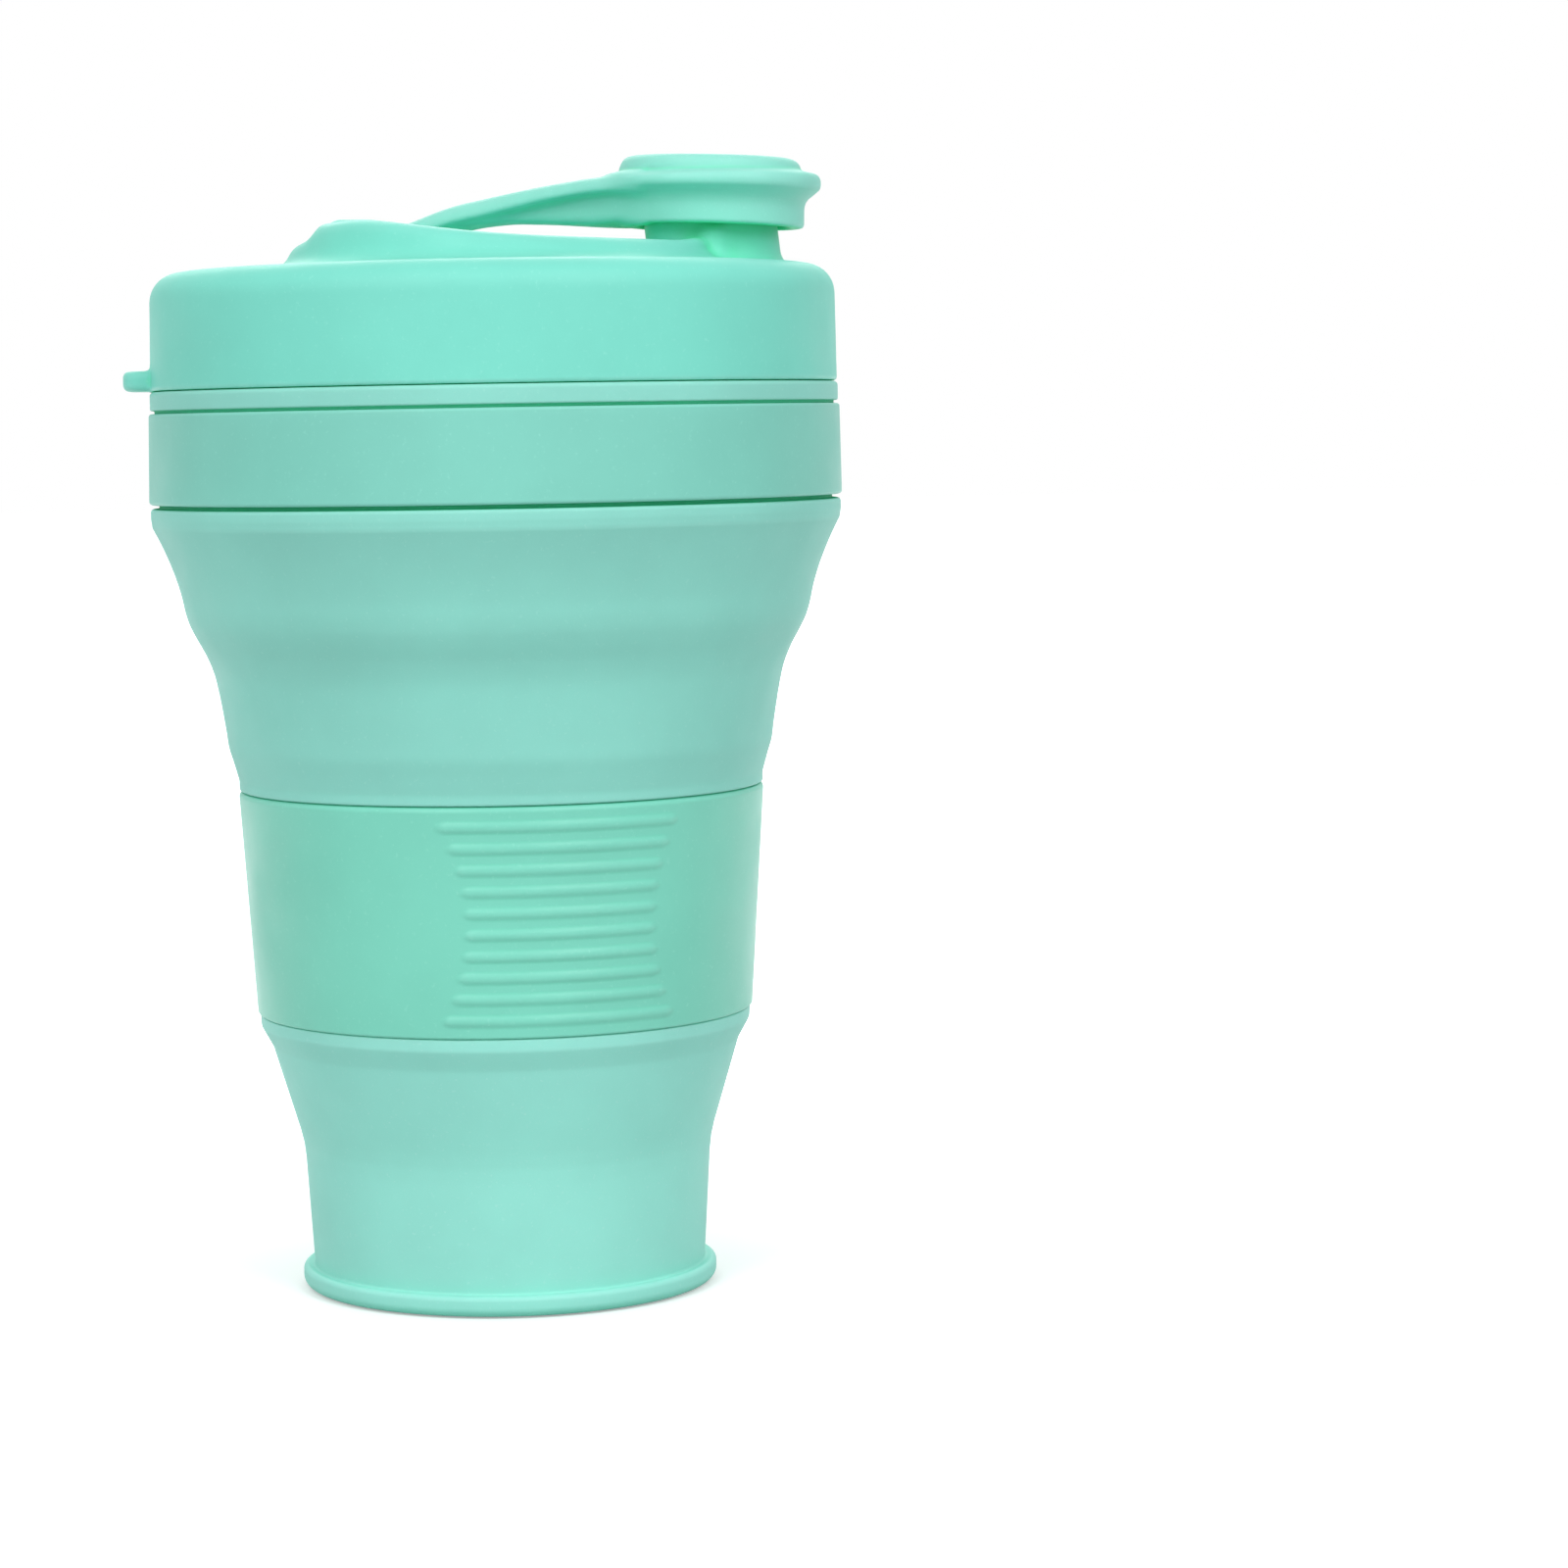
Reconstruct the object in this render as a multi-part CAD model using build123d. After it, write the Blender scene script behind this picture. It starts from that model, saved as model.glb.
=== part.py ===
from build123d import *
import os
from math import cos, radians, sin

# Collapsible travel cup, millimetres, +Z up. The origin is on the cup's axis, in the plane that the
# foot stands on. The drinking spout points along +X.

os.makedirs("parts", exist_ok=True)

# Silicone cup: foot and base cup
FOOT_RADIUS = 28.6
FOOT_HEIGHT = 3.1
FOOT_EDGE = 0.9
FOOT_TOP_EDGE = 0.7
BASE_LOW_RADIUS = 27.1
BASE_TOP_RADIUS = 28.2
BASE_HEIGHT = 20.3
BASE_WALL = 2.2
FLOOR_THICKNESS = 3.2
FLOOR_FILLET = 4.0
FOOT_SLOPE = 1.9
FOOT_SLOPE_ROUND = 1.2

# Silicone cup: fold walls and the wall inside the grip sleeve
FOLD_WALL = 1.5
LOWER_FOLD_HEIGHT = 13.1
GRIP_WALL = 1.8
LIP_HEIGHT = 4.25
TOP_LIP_HEIGHT = 1.4
LOW_LIP_CHAMFER = 2.3
LOW_LIP_STEP = 1.65
LOW_LIP_INSET = 0.3
TOP_LIP_INSET = 0.1
LIP_ROUND = 0.8
LIP_CORNER = 0.3
GRIP_FILLET_TOP = 2.0
GRIP_FILLET_LOW = 0.8
FOLD_GAP = 0.3
UPPER_FOLD_HEIGHT = 28.3
SCALLOP_ONE_HEIGHT = 4.9
SCALLOP_TWO_HEIGHT = 16.65
SCALLOP_ONE_STEP = 1.4
SCALLOP_TWO_STEP = 1.8
FOLD_TOP_STEP = 1.85
SCALLOP_LOW_SAG = 0.02
SCALLOP_SAG = 0.072
SCALLOP_TOP_SAG = 0.03

# Grip sleeve
SLEEVE_HEIGHT = 30.7
SLEEVE_TOP_RADIUS = 36.2
SLEEVE_TAPER = 2.05
SLEEVE_WALL = 1.6
SLEEVE_EDGE = 0.5
SLEEVE_CLEARANCE = 0.15
RIB_COUNT = 10
RIB_WIDTH = 1.5
RIB_CREST_WIDTH = 1.0
RIB_HEIGHT = 0.45
RIB_ROUND = 0.3
RIB_EMBED = 0.4
RIB_HALF_ANGLE_ENDS = 26.8
RIB_HALF_ANGLE_WAIST = 21.4
RIB_LOWEST = 2.35
RIB_TOP_MARGIN = 2.75
GRIP_HEADINGS = [-77.0, 103.0]

# Collar ring: its top edge is the size that the neck, the rim and the lid follow
COLLAR_TOP_RADIUS = 47.4
COLLAR_TAPER = 0.2
COLLAR_HEIGHT = 12.4
COLLAR_WALL = 2.6
COLLAR_EDGE = 0.4
COLLAR_CLEARANCE = 0.15

# Neck and rim lip
SHOULDER_HEIGHT = 9.45
SHOULDER_EDGE = 1.9
SHOULDER_ROUND = 2.0
SHOULDER_CORNER = 0.5
SEAM_GAP = 0.7
SEAM_DEPTH = 1.8
NECK_WALL = 2.2
RIM_LIP_HEIGHT = 3.0
RIM_LIP_INSET = 0.2
RIM_LIP_ROUND = 0.9
RIM_INNER_ROUND = 0.6
RIM_LIP_CORNER = 0.3

# Lid shell
LID_SEAT_GAP = 0.3
LID_HEIGHT = 16.4
LID_INSET = 0.3
LID_TAPER = 0.3
LID_CORNER = 3.8
LID_EDGE = 0.5
LID_DOME = 0.6
LID_DOME_BLEND = 2.0
LID_WALL = 2.0
LID_ROOF = 3.2
PLUG_DEPTH = 8.0
PLUG_WALL = 1.8
PLUG_CLEARANCE = 0.6
PLUG_EDGE = 0.6
PLUG_INNER_EDGE = 0.4
PLUG_FILLET = 2.0
LID_CHANNEL_TOP = 5.5
LID_CHANNEL_FILLET = 1.0

# Lid seal ring
SEAL_HEIGHT = 2.4
SEAL_DEPTH = 0.8
SEAL_CLEARANCE = 0.3
SEAL_LOWEST = 2.8
SEAL_ROUND = 0.4

# Ridge and well on the lid
RIDGE_END_MARGIN = 16.3
RIDGE_SIDE_MARGIN = 8.8
RIDGE_CENTRE = 0.5
RIDGE_DRAFT = 3.2
RIDGE_HIGH = 5.8
RIDGE_LOW = 2.0
RIDGE_CREST = 3.2
RIDGE_SAG = 1.1
RIDGE_LEVEL = 9.0
WELL_DEPTH = 0.9
WELL_DRAFT = 0.8
CUT_OVERRUN = 1.0

# Lift tab on the lid's edge
TAB_LENGTH = 5.0
TAB_ROOT = 3.0
TAB_WIDTH = 14.0
TAB_THICKNESS = 2.8
TAB_CORNER = 3.0
TAB_EDGE = 0.8

# Spout
SPOUT_SETBACK = 2.85
SPOUT_RADIUS = 9.3
SPOUT_FLARE = 0.9
SPOUT_FOOT = 0.4
SPOUT_FOOT_ROUND = 1.0
SPOUT_HEIGHT = 7.7
SPOUT_FLARE_HEIGHT = 3.8
SPOUT_FLARE_ROUND = 1.5
SPOUT_BORE = 6.6
SPOUT_EDGE = 0.8
BORE_OVERRUN = 2.0

# Stopper
SKIRT_WALL = 2.2
SKIRT_CLEARANCE = 0.9
SKIRT_DROP = 2.9
SKIRT_EDGE = 0.5
CAP_CLEARANCE = 0.5
CAP_ROOF = 0.9
FLANGE_OVERHANG = 2.4
FLANGE_THICKNESS = 3.2
FLANGE_EDGE_HEIGHT = 2.2
FLANGE_ROUND = 1.3
FLANGE_LOW_ROUND = 0.8
BUTTON_SETBACK = 2.5
BUTTON_HEIGHT = 2.6
BUTTON_ROUND = 1.7
BUTTON_FOOT = 0.3
BUTTON_FOOT_ROUND = 0.4
PLUG_CAP_CLEARANCE = 0.35
PLUG_CAP_TAPER = 0.6
PLUG_CAP_LENGTH = 6.0
PLUG_CAP_ROUND = 1.2
CAP_FILLET = 0.4

# Strap, from the stopper to the anchor block
STRAP_HEADING = 160.0
ANCHOR_OFFSET = 16.9
STRAP_NECK_REACH = 19.0
STRAP_NECK_HALF_WIDTH = 8.0
STRAP_NECK_ROUND = 14.0
STRAP_ROOT_HALF_WIDTH = 6.0
STRAP_BAND = 1.9
STRAP_MID_REACH = 27.0
STRAP_MID_DROP = 1.7
STRAP_KEEL_REACH = 21.0
STRAP_KEEL_RISE = 1.9
STRAP_KEEL_INSET = 1.6
STRAP_ROOT_THICKNESS = 3.2
STRAP_ROOT_DROP = 5.3
STRAP_ROOT_SLOPE = 0.33
HINGE_SETBACK = 3.5
HINGE_GAP = 0.3
HINGE_LIFT = 0.2

# Anchor block and the strap's tongue in its socket
BLOCK_HALF_WIDTH = 7.5
BLOCK_LENGTH = 14.0
BLOCK_RISE = 1.3
BLOCK_ROUND = 1.8
BLOCK_EDGE = 0.9
BLOCK_MARGIN = 1.0
TONGUE_LENGTH = 5.0
TONGUE_HALF_WIDTH = 4.6
TONGUE_THICKNESS = 2.2
BULB_LENGTH = 1.6
BULB_HALF_WIDTH = 5.8
BULB_STEP = 0.3
SOCKET_CLEARANCE = 0.15

# Heights worked out from the sizes above
base_top = BASE_HEIGHT
grip_bottom = base_top + LOWER_FOLD_HEIGHT + FOLD_GAP
sleeve_bottom = grip_bottom + LIP_HEIGHT
sleeve_top = sleeve_bottom + SLEEVE_HEIGHT
grip_top = sleeve_top + TOP_LIP_HEIGHT
fold_top = grip_top + UPPER_FOLD_HEIGHT
neck_bottom = fold_top + FOLD_GAP
collar_bottom = neck_bottom + SHOULDER_HEIGHT
collar_top = collar_bottom + COLLAR_HEIGHT
rim_top = collar_top + RIM_LIP_HEIGHT
lid_bottom = rim_top + LID_SEAT_GAP
lid_top = lid_bottom + LID_HEIGHT
roof_top = lid_top + LID_DOME
lid_ceiling = roof_top - LID_ROOF
well_floor = lid_top - WELL_DEPTH
ridge_crest = lid_top + RIDGE_HIGH
spout_top = lid_top + SPOUT_HEIGHT
skirt_bottom = spout_top - SKIRT_DROP
flange_bottom = spout_top + CAP_CLEARANCE + CAP_ROOF
flange_top = flange_bottom + FLANGE_THICKNESS
button_top = flange_top + BUTTON_HEIGHT
strap_root_top = flange_top - STRAP_ROOT_DROP
RIB_PITCH = (SLEEVE_HEIGHT - RIB_LOWEST - RIB_TOP_MARGIN) / (RIB_COUNT - 1)

# Radii and reaches worked out from the sizes above
SLEEVE_LOW_RADIUS = SLEEVE_TOP_RADIUS - SLEEVE_TAPER
lip_low_radius = SLEEVE_LOW_RADIUS - LOW_LIP_INSET
lip_top_radius = SLEEVE_TOP_RADIUS - TOP_LIP_INSET
sleeve_low_bore = SLEEVE_LOW_RADIUS - SLEEVE_WALL
sleeve_top_bore = SLEEVE_TOP_RADIUS - SLEEVE_WALL
lower_fold_top_radius = lip_low_radius - LOW_LIP_STEP
COLLAR_LOW_RADIUS = COLLAR_TOP_RADIUS + COLLAR_TAPER
collar_bore = COLLAR_TOP_RADIUS - COLLAR_WALL
SHOULDER_RADIUS = COLLAR_TOP_RADIUS
RIM_LIP_RADIUS = COLLAR_TOP_RADIUS - RIM_LIP_INSET
neck_radius = collar_bore - COLLAR_CLEARANCE
neck_bore = neck_radius - NECK_WALL
FOLD_TOP_RADIUS = neck_bore + FOLD_TOP_STEP
SCALLOP_ONE_RADIUS = lip_top_radius + SCALLOP_ONE_STEP
SCALLOP_TWO_RADIUS = FOLD_TOP_RADIUS - SCALLOP_TWO_STEP
LID_LOW_RADIUS = COLLAR_TOP_RADIUS - LID_INSET
LID_TOP_RADIUS = LID_LOW_RADIUS - LID_TAPER
plug_radius = neck_bore - PLUG_CLEARANCE
plug_bore = plug_radius - PLUG_WALL
groove_radius = plug_radius - SEAL_DEPTH
seal_radius = neck_bore - SEAL_CLEARANCE
RIDGE_HALF_LENGTH = LID_TOP_RADIUS - RIDGE_END_MARGIN
RIDGE_HALF_WIDTH = LID_TOP_RADIUS - RIDGE_SIDE_MARGIN
SPOUT_OFFSET = plug_bore - SPOUT_BORE - SPOUT_SETBACK
skirt_bore = SPOUT_RADIUS + SKIRT_CLEARANCE
SKIRT_RADIUS = skirt_bore + SKIRT_WALL
FLANGE_RADIUS = SKIRT_RADIUS + FLANGE_OVERHANG
BUTTON_RADIUS = FLANGE_RADIUS - BUTTON_SETBACK
STRAP_REACH = SPOUT_OFFSET + ANCHOR_OFFSET
hinge_reach = STRAP_REACH - HINGE_SETBACK
strap_end = hinge_reach - HINGE_GAP


def turned(corners):
    """Solid of revolution about Z from corners, each (radius, height, corner rounding)."""
    points = [(radius, height) for radius, height, rounding in corners]
    roundings = [rounding for radius, height, rounding in corners]
    outline = FilletPolyline(*points, radius=roundings, close=True)
    return revolve(Plane.XZ * make_face(outline), Axis.Z)


def scallop(start, end, sag):
    """Hollow arc of a scalloped wall, between two (radius, height) points."""
    length = (Vector(*end) - Vector(*start)).length
    return SagittaArc(start, end, -sag * length)


def scalloped_wall(corners, sags, wall):
    """Thin turned wall whose outside is one hollow arc from each corner to the next."""
    inner = [(radius - wall, height) for radius, height in corners]
    edges = [scallop(a, b, sag) for a, b, sag in zip(corners, corners[1:], sags)]
    edges += [scallop(a, b, sag) for a, b, sag in zip(inner, inner[1:], sags)]
    edges += [Line(corners[0], inner[0]), Line(corners[-1], inner[-1])]
    return revolve(Plane.XZ * make_face(edges), Axis.Z)


def on_spout(shape):
    """Move a shape made round the origin, with its strap along -X, to the spout's axis."""
    return Pos(SPOUT_OFFSET, 0, 0) * Rot(0, 0, STRAP_HEADING - 180) * shape


def base_cup():
    """Foot, floor and straight lower wall of the cup."""
    bore = BASE_TOP_RADIUS - BASE_WALL
    return turned([
        (0, 0, 0),
        (FOOT_RADIUS, 0, FOOT_EDGE),
        (FOOT_RADIUS, FOOT_HEIGHT, FOOT_TOP_EDGE),
        (BASE_LOW_RADIUS, FOOT_HEIGHT + FOOT_SLOPE, FOOT_SLOPE_ROUND),
        (BASE_TOP_RADIUS, base_top, 0),
        (bore, base_top, 0),
        (BASE_LOW_RADIUS - BASE_WALL, FLOOR_THICKNESS, FLOOR_FILLET),
        (0, FLOOR_THICKNESS, 0),
    ])


def lower_fold():
    """Conical wall between the base cup and the grip section."""
    top = grip_bottom - FOLD_GAP
    return turned([
        (BASE_TOP_RADIUS, base_top, 0),
        (lower_fold_top_radius, top, 0),
        (lower_fold_top_radius - FOLD_WALL, top, 0),
        (BASE_TOP_RADIUS - FOLD_WALL, base_top, 0),
    ])


def grip_wall():
    """Silicone wall inside the grip sleeve, with the lips that hold the sleeve below and above."""
    low = sleeve_low_bore - SLEEVE_CLEARANCE
    high = sleeve_top_bore - SLEEVE_CLEARANCE
    return turned([
        (lower_fold_top_radius, grip_bottom, LIP_CORNER),
        (lip_low_radius, grip_bottom + LOW_LIP_CHAMFER, LIP_ROUND),
        (lip_low_radius, sleeve_bottom, 0),
        (low, sleeve_bottom, 0),
        (high, sleeve_top, 0),
        (lip_top_radius, sleeve_top, 0),
        (lip_top_radius, grip_top, LIP_CORNER),
        (high - GRIP_WALL, grip_top, 0),
        (high - GRIP_WALL, sleeve_top, GRIP_FILLET_TOP),
        (low - GRIP_WALL, sleeve_bottom, GRIP_FILLET_LOW),
        (low - GRIP_WALL, grip_bottom, 0),
    ])


def grip_rib(height, radius, half_angle, heading):
    """One raised rib of a grip patch, a short arc round the sleeve."""
    outline = FilletPolyline(
        (radius - RIB_EMBED, height - RIB_WIDTH / 2),
        (radius + RIB_HEIGHT, height - RIB_CREST_WIDTH / 2),
        (radius + RIB_HEIGHT, height + RIB_CREST_WIDTH / 2),
        (radius - RIB_EMBED, height + RIB_WIDTH / 2),
        radius=[0, RIB_ROUND, RIB_ROUND, 0],
        close=True,
    )
    rib = revolve(Plane.XZ * make_face(outline), Axis.Z, revolution_arc=2 * half_angle)
    return Rot(0, 0, heading - half_angle) * rib


def grip_sleeve():
    """Conical sleeve with two hour-glass patches of raised ribs."""
    sleeve = turned([
        (SLEEVE_LOW_RADIUS, sleeve_bottom, SLEEVE_EDGE),
        (SLEEVE_TOP_RADIUS, sleeve_top, SLEEVE_EDGE),
        (sleeve_top_bore, sleeve_top, 0),
        (sleeve_low_bore, sleeve_bottom, 0),
    ])
    half_span = RIB_PITCH * (RIB_COUNT - 1) / 2
    slope = (SLEEVE_TOP_RADIUS - SLEEVE_LOW_RADIUS) / SLEEVE_HEIGHT
    ribs = []
    for heading in GRIP_HEADINGS:
        for index in range(RIB_COUNT):
            rise = RIB_LOWEST + index * RIB_PITCH
            share = (index * RIB_PITCH - half_span) / half_span
            spread = (RIB_HALF_ANGLE_ENDS - RIB_HALF_ANGLE_WAIST) * share**2
            radius = SLEEVE_LOW_RADIUS + slope * rise
            height = sleeve_bottom + rise
            ribs.append(grip_rib(height, radius, RIB_HALF_ANGLE_WAIST + spread, heading))
    return sleeve + ribs


def upper_fold():
    """Scalloped wall between the grip section and the neck; it turns inside out when the cup folds."""
    corners = [
        (lip_top_radius, grip_top),
        (SCALLOP_ONE_RADIUS, grip_top + SCALLOP_ONE_HEIGHT),
        (SCALLOP_TWO_RADIUS, grip_top + SCALLOP_ONE_HEIGHT + SCALLOP_TWO_HEIGHT),
        (FOLD_TOP_RADIUS, fold_top),
    ]
    return scalloped_wall(corners, [SCALLOP_LOW_SAG, SCALLOP_SAG, SCALLOP_TOP_SAG], FOLD_WALL)


def cup_neck():
    """Shoulder, neck wall and rim lip; the collar ring sits in the groove between them."""
    seat_edge = COLLAR_TOP_RADIUS - SEAM_DEPTH
    return turned([
        (FOLD_TOP_RADIUS, neck_bottom, 0),
        (SHOULDER_RADIUS, collar_bottom - SEAM_GAP - SHOULDER_EDGE, SHOULDER_ROUND),
        (SHOULDER_RADIUS, collar_bottom - SEAM_GAP, SHOULDER_CORNER),
        (seat_edge, collar_bottom - SEAM_GAP, 0),
        (seat_edge, collar_bottom, 0),
        (neck_radius, collar_bottom, 0),
        (neck_radius, collar_top, 0),
        (seat_edge, collar_top, 0),
        (seat_edge, collar_top + SEAM_GAP, 0),
        (RIM_LIP_RADIUS, collar_top + SEAM_GAP, RIM_LIP_CORNER),
        (RIM_LIP_RADIUS, rim_top, RIM_LIP_ROUND),
        (neck_bore, rim_top, RIM_INNER_ROUND),
        (neck_bore, neck_bottom, 0),
    ])


def collar():
    """Hard ring clipped round the neck."""
    return turned([
        (COLLAR_LOW_RADIUS, collar_bottom, COLLAR_EDGE),
        (COLLAR_TOP_RADIUS, collar_top, COLLAR_EDGE),
        (collar_bore, collar_top, 0),
        (collar_bore, collar_bottom, 0),
    ])


def lid_body():
    """Turned part of the lid: outer wall, roof and plug wall with the seal's groove."""
    plug_bottom = lid_bottom - PLUG_DEPTH
    groove_low = plug_bottom + SEAL_LOWEST
    channel_top = lid_top - LID_CHANNEL_TOP
    return turned([
        (LID_LOW_RADIUS, lid_bottom, LID_EDGE),
        (LID_TOP_RADIUS, lid_top, LID_CORNER),
        (RIDGE_HALF_LENGTH, roof_top, LID_DOME_BLEND),
        (0, roof_top, 0),
        (0, lid_ceiling, 0),
        (plug_bore, lid_ceiling, PLUG_FILLET),
        (plug_bore, plug_bottom, PLUG_INNER_EDGE),
        (plug_radius, plug_bottom, PLUG_EDGE),
        (plug_radius, groove_low, 0),
        (groove_radius, groove_low, 0),
        (groove_radius, groove_low + SEAL_HEIGHT, 0),
        (plug_radius, groove_low + SEAL_HEIGHT, 0),
        (plug_radius, channel_top, LID_CHANNEL_FILLET),
        (LID_TOP_RADIUS - LID_WALL, channel_top, LID_CHANNEL_FILLET),
        (LID_LOW_RADIUS - LID_WALL, lid_bottom, 0),
    ])


def oval_block(half_length, half_width, low, high, draft):
    """Upright oval solid centred on the ridge, narrower at the top by the draft."""
    foot = Pos(RIDGE_CENTRE, 0, low) * Ellipse(half_length, half_width)
    crest = Pos(RIDGE_CENTRE, 0, high) * Ellipse(half_length - draft, half_width - draft)
    return loft([foot, crest])


def ridge_form():
    """Outer form of the ridge, filled in, with its full height all round."""
    return oval_block(RIDGE_HALF_LENGTH, RIDGE_HALF_WIDTH, lid_ceiling, ridge_crest, RIDGE_DRAFT)


def well_form():
    """Space inside the ridge, down to the floor of the well."""
    half_length = RIDGE_HALF_LENGTH - RIDGE_DRAFT - RIDGE_CREST
    half_width = RIDGE_HALF_WIDTH - RIDGE_DRAFT - RIDGE_CREST
    high = ridge_crest + CUT_OVERRUN
    return oval_block(half_length, half_width, well_floor, high, -WELL_DRAFT)


def ridge_shaver():
    """What is taken off the ridge's top, so that it falls away from the strap's end to the spout."""
    left = RIDGE_CENTRE - RIDGE_HALF_LENGTH + RIDGE_LEVEL
    right = SPOUT_OFFSET - SPOUT_RADIUS
    far = RIDGE_CENTRE + RIDGE_HALF_LENGTH + CUT_OVERRUN
    low = lid_top + RIDGE_LOW
    above = ridge_crest + CUT_OVERRUN
    edges = [
        SagittaArc((left, ridge_crest), (right, low), RIDGE_SAG),
        Polyline((right, low), (far, low), (far, above), (left, above), (left, ridge_crest)),
    ]
    return extrude(Plane.XZ * make_face(edges), amount=RIDGE_HALF_WIDTH, both=True)


def anchor_block():
    """Block in the well that holds the strap's end, cut to the ridge's outer form."""
    height = ridge_crest + BLOCK_RISE - lid_ceiling
    block = Box(BLOCK_LENGTH, 2 * BLOCK_HALF_WIDTH, height)
    block = fillet(block.edges().filter_by(Axis.Z).group_by(Axis.X)[-1], BLOCK_ROUND)
    block = fillet(block.faces().sort_by(Axis.Z)[-1].edges(), BLOCK_EDGE)
    centre = -STRAP_REACH - BLOCK_LENGTH / 2
    block = on_spout(Pos(centre, 0, lid_ceiling + height / 2) * block)
    half_length = RIDGE_HALF_LENGTH - BLOCK_MARGIN
    half_width = RIDGE_HALF_WIDTH - BLOCK_MARGIN
    high = ridge_crest + 2 * BLOCK_RISE
    return block & oval_block(half_length, half_width, lid_ceiling, high, RIDGE_DRAFT)


def tongue(clearance):
    """Flat tongue and cross bulb at the strap's end, grown by a clearance, along -X from the spout."""
    length = TONGUE_LENGTH - BULB_LENGTH
    middle = strap_root_top - STRAP_ROOT_SLOPE * HINGE_SETBACK - STRAP_ROOT_THICKNESS / 2
    height = TONGUE_THICKNESS + 2 * clearance
    flat = Box(length + clearance, 2 * (TONGUE_HALF_WIDTH + clearance), height)
    bulb = Box(BULB_LENGTH + 2 * clearance, 2 * (BULB_HALF_WIDTH + clearance), height + 2 * BULB_STEP)
    flat = Pos(-STRAP_REACH - (length - clearance) / 2, 0, middle) * flat
    bulb = Pos(-STRAP_REACH - length - BULB_LENGTH / 2, 0, middle) * bulb
    return flat + bulb


def spout():
    """Drinking spout before it is bored, with a flared foot."""
    return Pos(SPOUT_OFFSET, 0, 0) * turned([
        (0, lid_ceiling, 0),
        (SPOUT_RADIUS + SPOUT_FLARE, lid_ceiling, 0),
        (SPOUT_RADIUS + SPOUT_FLARE, lid_top + SPOUT_FOOT, SPOUT_FOOT_ROUND),
        (SPOUT_RADIUS, lid_top + SPOUT_FLARE_HEIGHT, SPOUT_FLARE_ROUND),
        (SPOUT_RADIUS, spout_top, SPOUT_EDGE),
        (0, spout_top, 0),
    ])


def lift_tab():
    """Finger tab at the lid's lower edge, opposite the spout."""
    length = TAB_LENGTH + TAB_ROOT
    tab = Box(length, TAB_WIDTH, TAB_THICKNESS)
    tab = fillet(tab.edges().filter_by(Axis.Z).group_by(Axis.X)[0], TAB_CORNER)
    tab = fillet(tab.faces().sort_by(Axis.Z)[-1].edges(), TAB_EDGE)
    return Pos(-LID_LOW_RADIUS - TAB_LENGTH + length / 2, 0, lid_bottom + TAB_THICKNESS / 2) * tab


def lid_shell():
    """Whole lid moulding."""
    ridge = ridge_form() - well_form() - ridge_shaver()
    shell = lid_body() - well_form()
    shell = shell + ridge + anchor_block() + spout() + lift_tab()
    bore = Cylinder(SPOUT_BORE, spout_top - lid_ceiling + 2 * BORE_OVERRUN)
    shell -= Pos(SPOUT_OFFSET, 0, (spout_top + lid_ceiling) / 2) * bore
    return shell - on_spout(tongue(SOCKET_CLEARANCE))


def lid_seal():
    """Seal ring in the groove of the lid's plug wall."""
    low = lid_bottom - PLUG_DEPTH + SEAL_LOWEST
    return turned([
        (groove_radius, low, 0),
        (seal_radius, low, SEAL_ROUND),
        (seal_radius, low + SEAL_HEIGHT, SEAL_ROUND),
        (groove_radius, low + SEAL_HEIGHT, 0),
    ])


def stopper_cap():
    """Button, flange, skirt and plug of the stopper, round the origin."""
    plug_top_radius = SPOUT_BORE - PLUG_CAP_CLEARANCE
    roof = spout_top + CAP_CLEARANCE
    plug_bottom = roof - PLUG_CAP_LENGTH
    return turned([
        (0, button_top, 0),
        (BUTTON_RADIUS, button_top, BUTTON_ROUND),
        (BUTTON_RADIUS + BUTTON_FOOT, flange_top, BUTTON_FOOT_ROUND),
        (FLANGE_RADIUS, flange_top, FLANGE_ROUND),
        (FLANGE_RADIUS, flange_top - FLANGE_EDGE_HEIGHT, FLANGE_LOW_ROUND),
        (SKIRT_RADIUS, flange_bottom, FLANGE_LOW_ROUND),
        (SKIRT_RADIUS, skirt_bottom, SKIRT_EDGE),
        (skirt_bore, skirt_bottom, SKIRT_EDGE),
        (skirt_bore, roof, CAP_FILLET),
        (plug_top_radius, roof, CAP_FILLET),
        (plug_top_radius - PLUG_CAP_TAPER, plug_bottom, PLUG_CAP_ROUND),
        (0, plug_bottom, 0),
    ])


def strap_side(deep):
    """Side view of the strap, from inside the skirt's wall to the hinge line: deep takes in the keel."""
    start = (SKIRT_RADIUS + skirt_bore) / 2
    mid = flange_top - STRAP_MID_DROP
    ends = [(-1, 0), (-1, -STRAP_ROOT_SLOPE)]
    points = [(-start, flange_top), (-STRAP_MID_REACH, mid), (-strap_end, strap_root_top)]
    top = Spline(*points, tangents=ends)
    if deep:
        bend = (-STRAP_KEEL_REACH, skirt_bottom + STRAP_KEEL_RISE)
        points = [(-start, skirt_bottom), bend, (-strap_end, strap_root_top - STRAP_ROOT_THICKNESS)]
    else:
        points = [(across, height - STRAP_BAND) for across, height in points]
    bottom = Spline(*points, tangents=ends)
    return make_face([top, Line(top @ 1, bottom @ 1), bottom, Line(bottom @ 0, top @ 0)])


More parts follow.
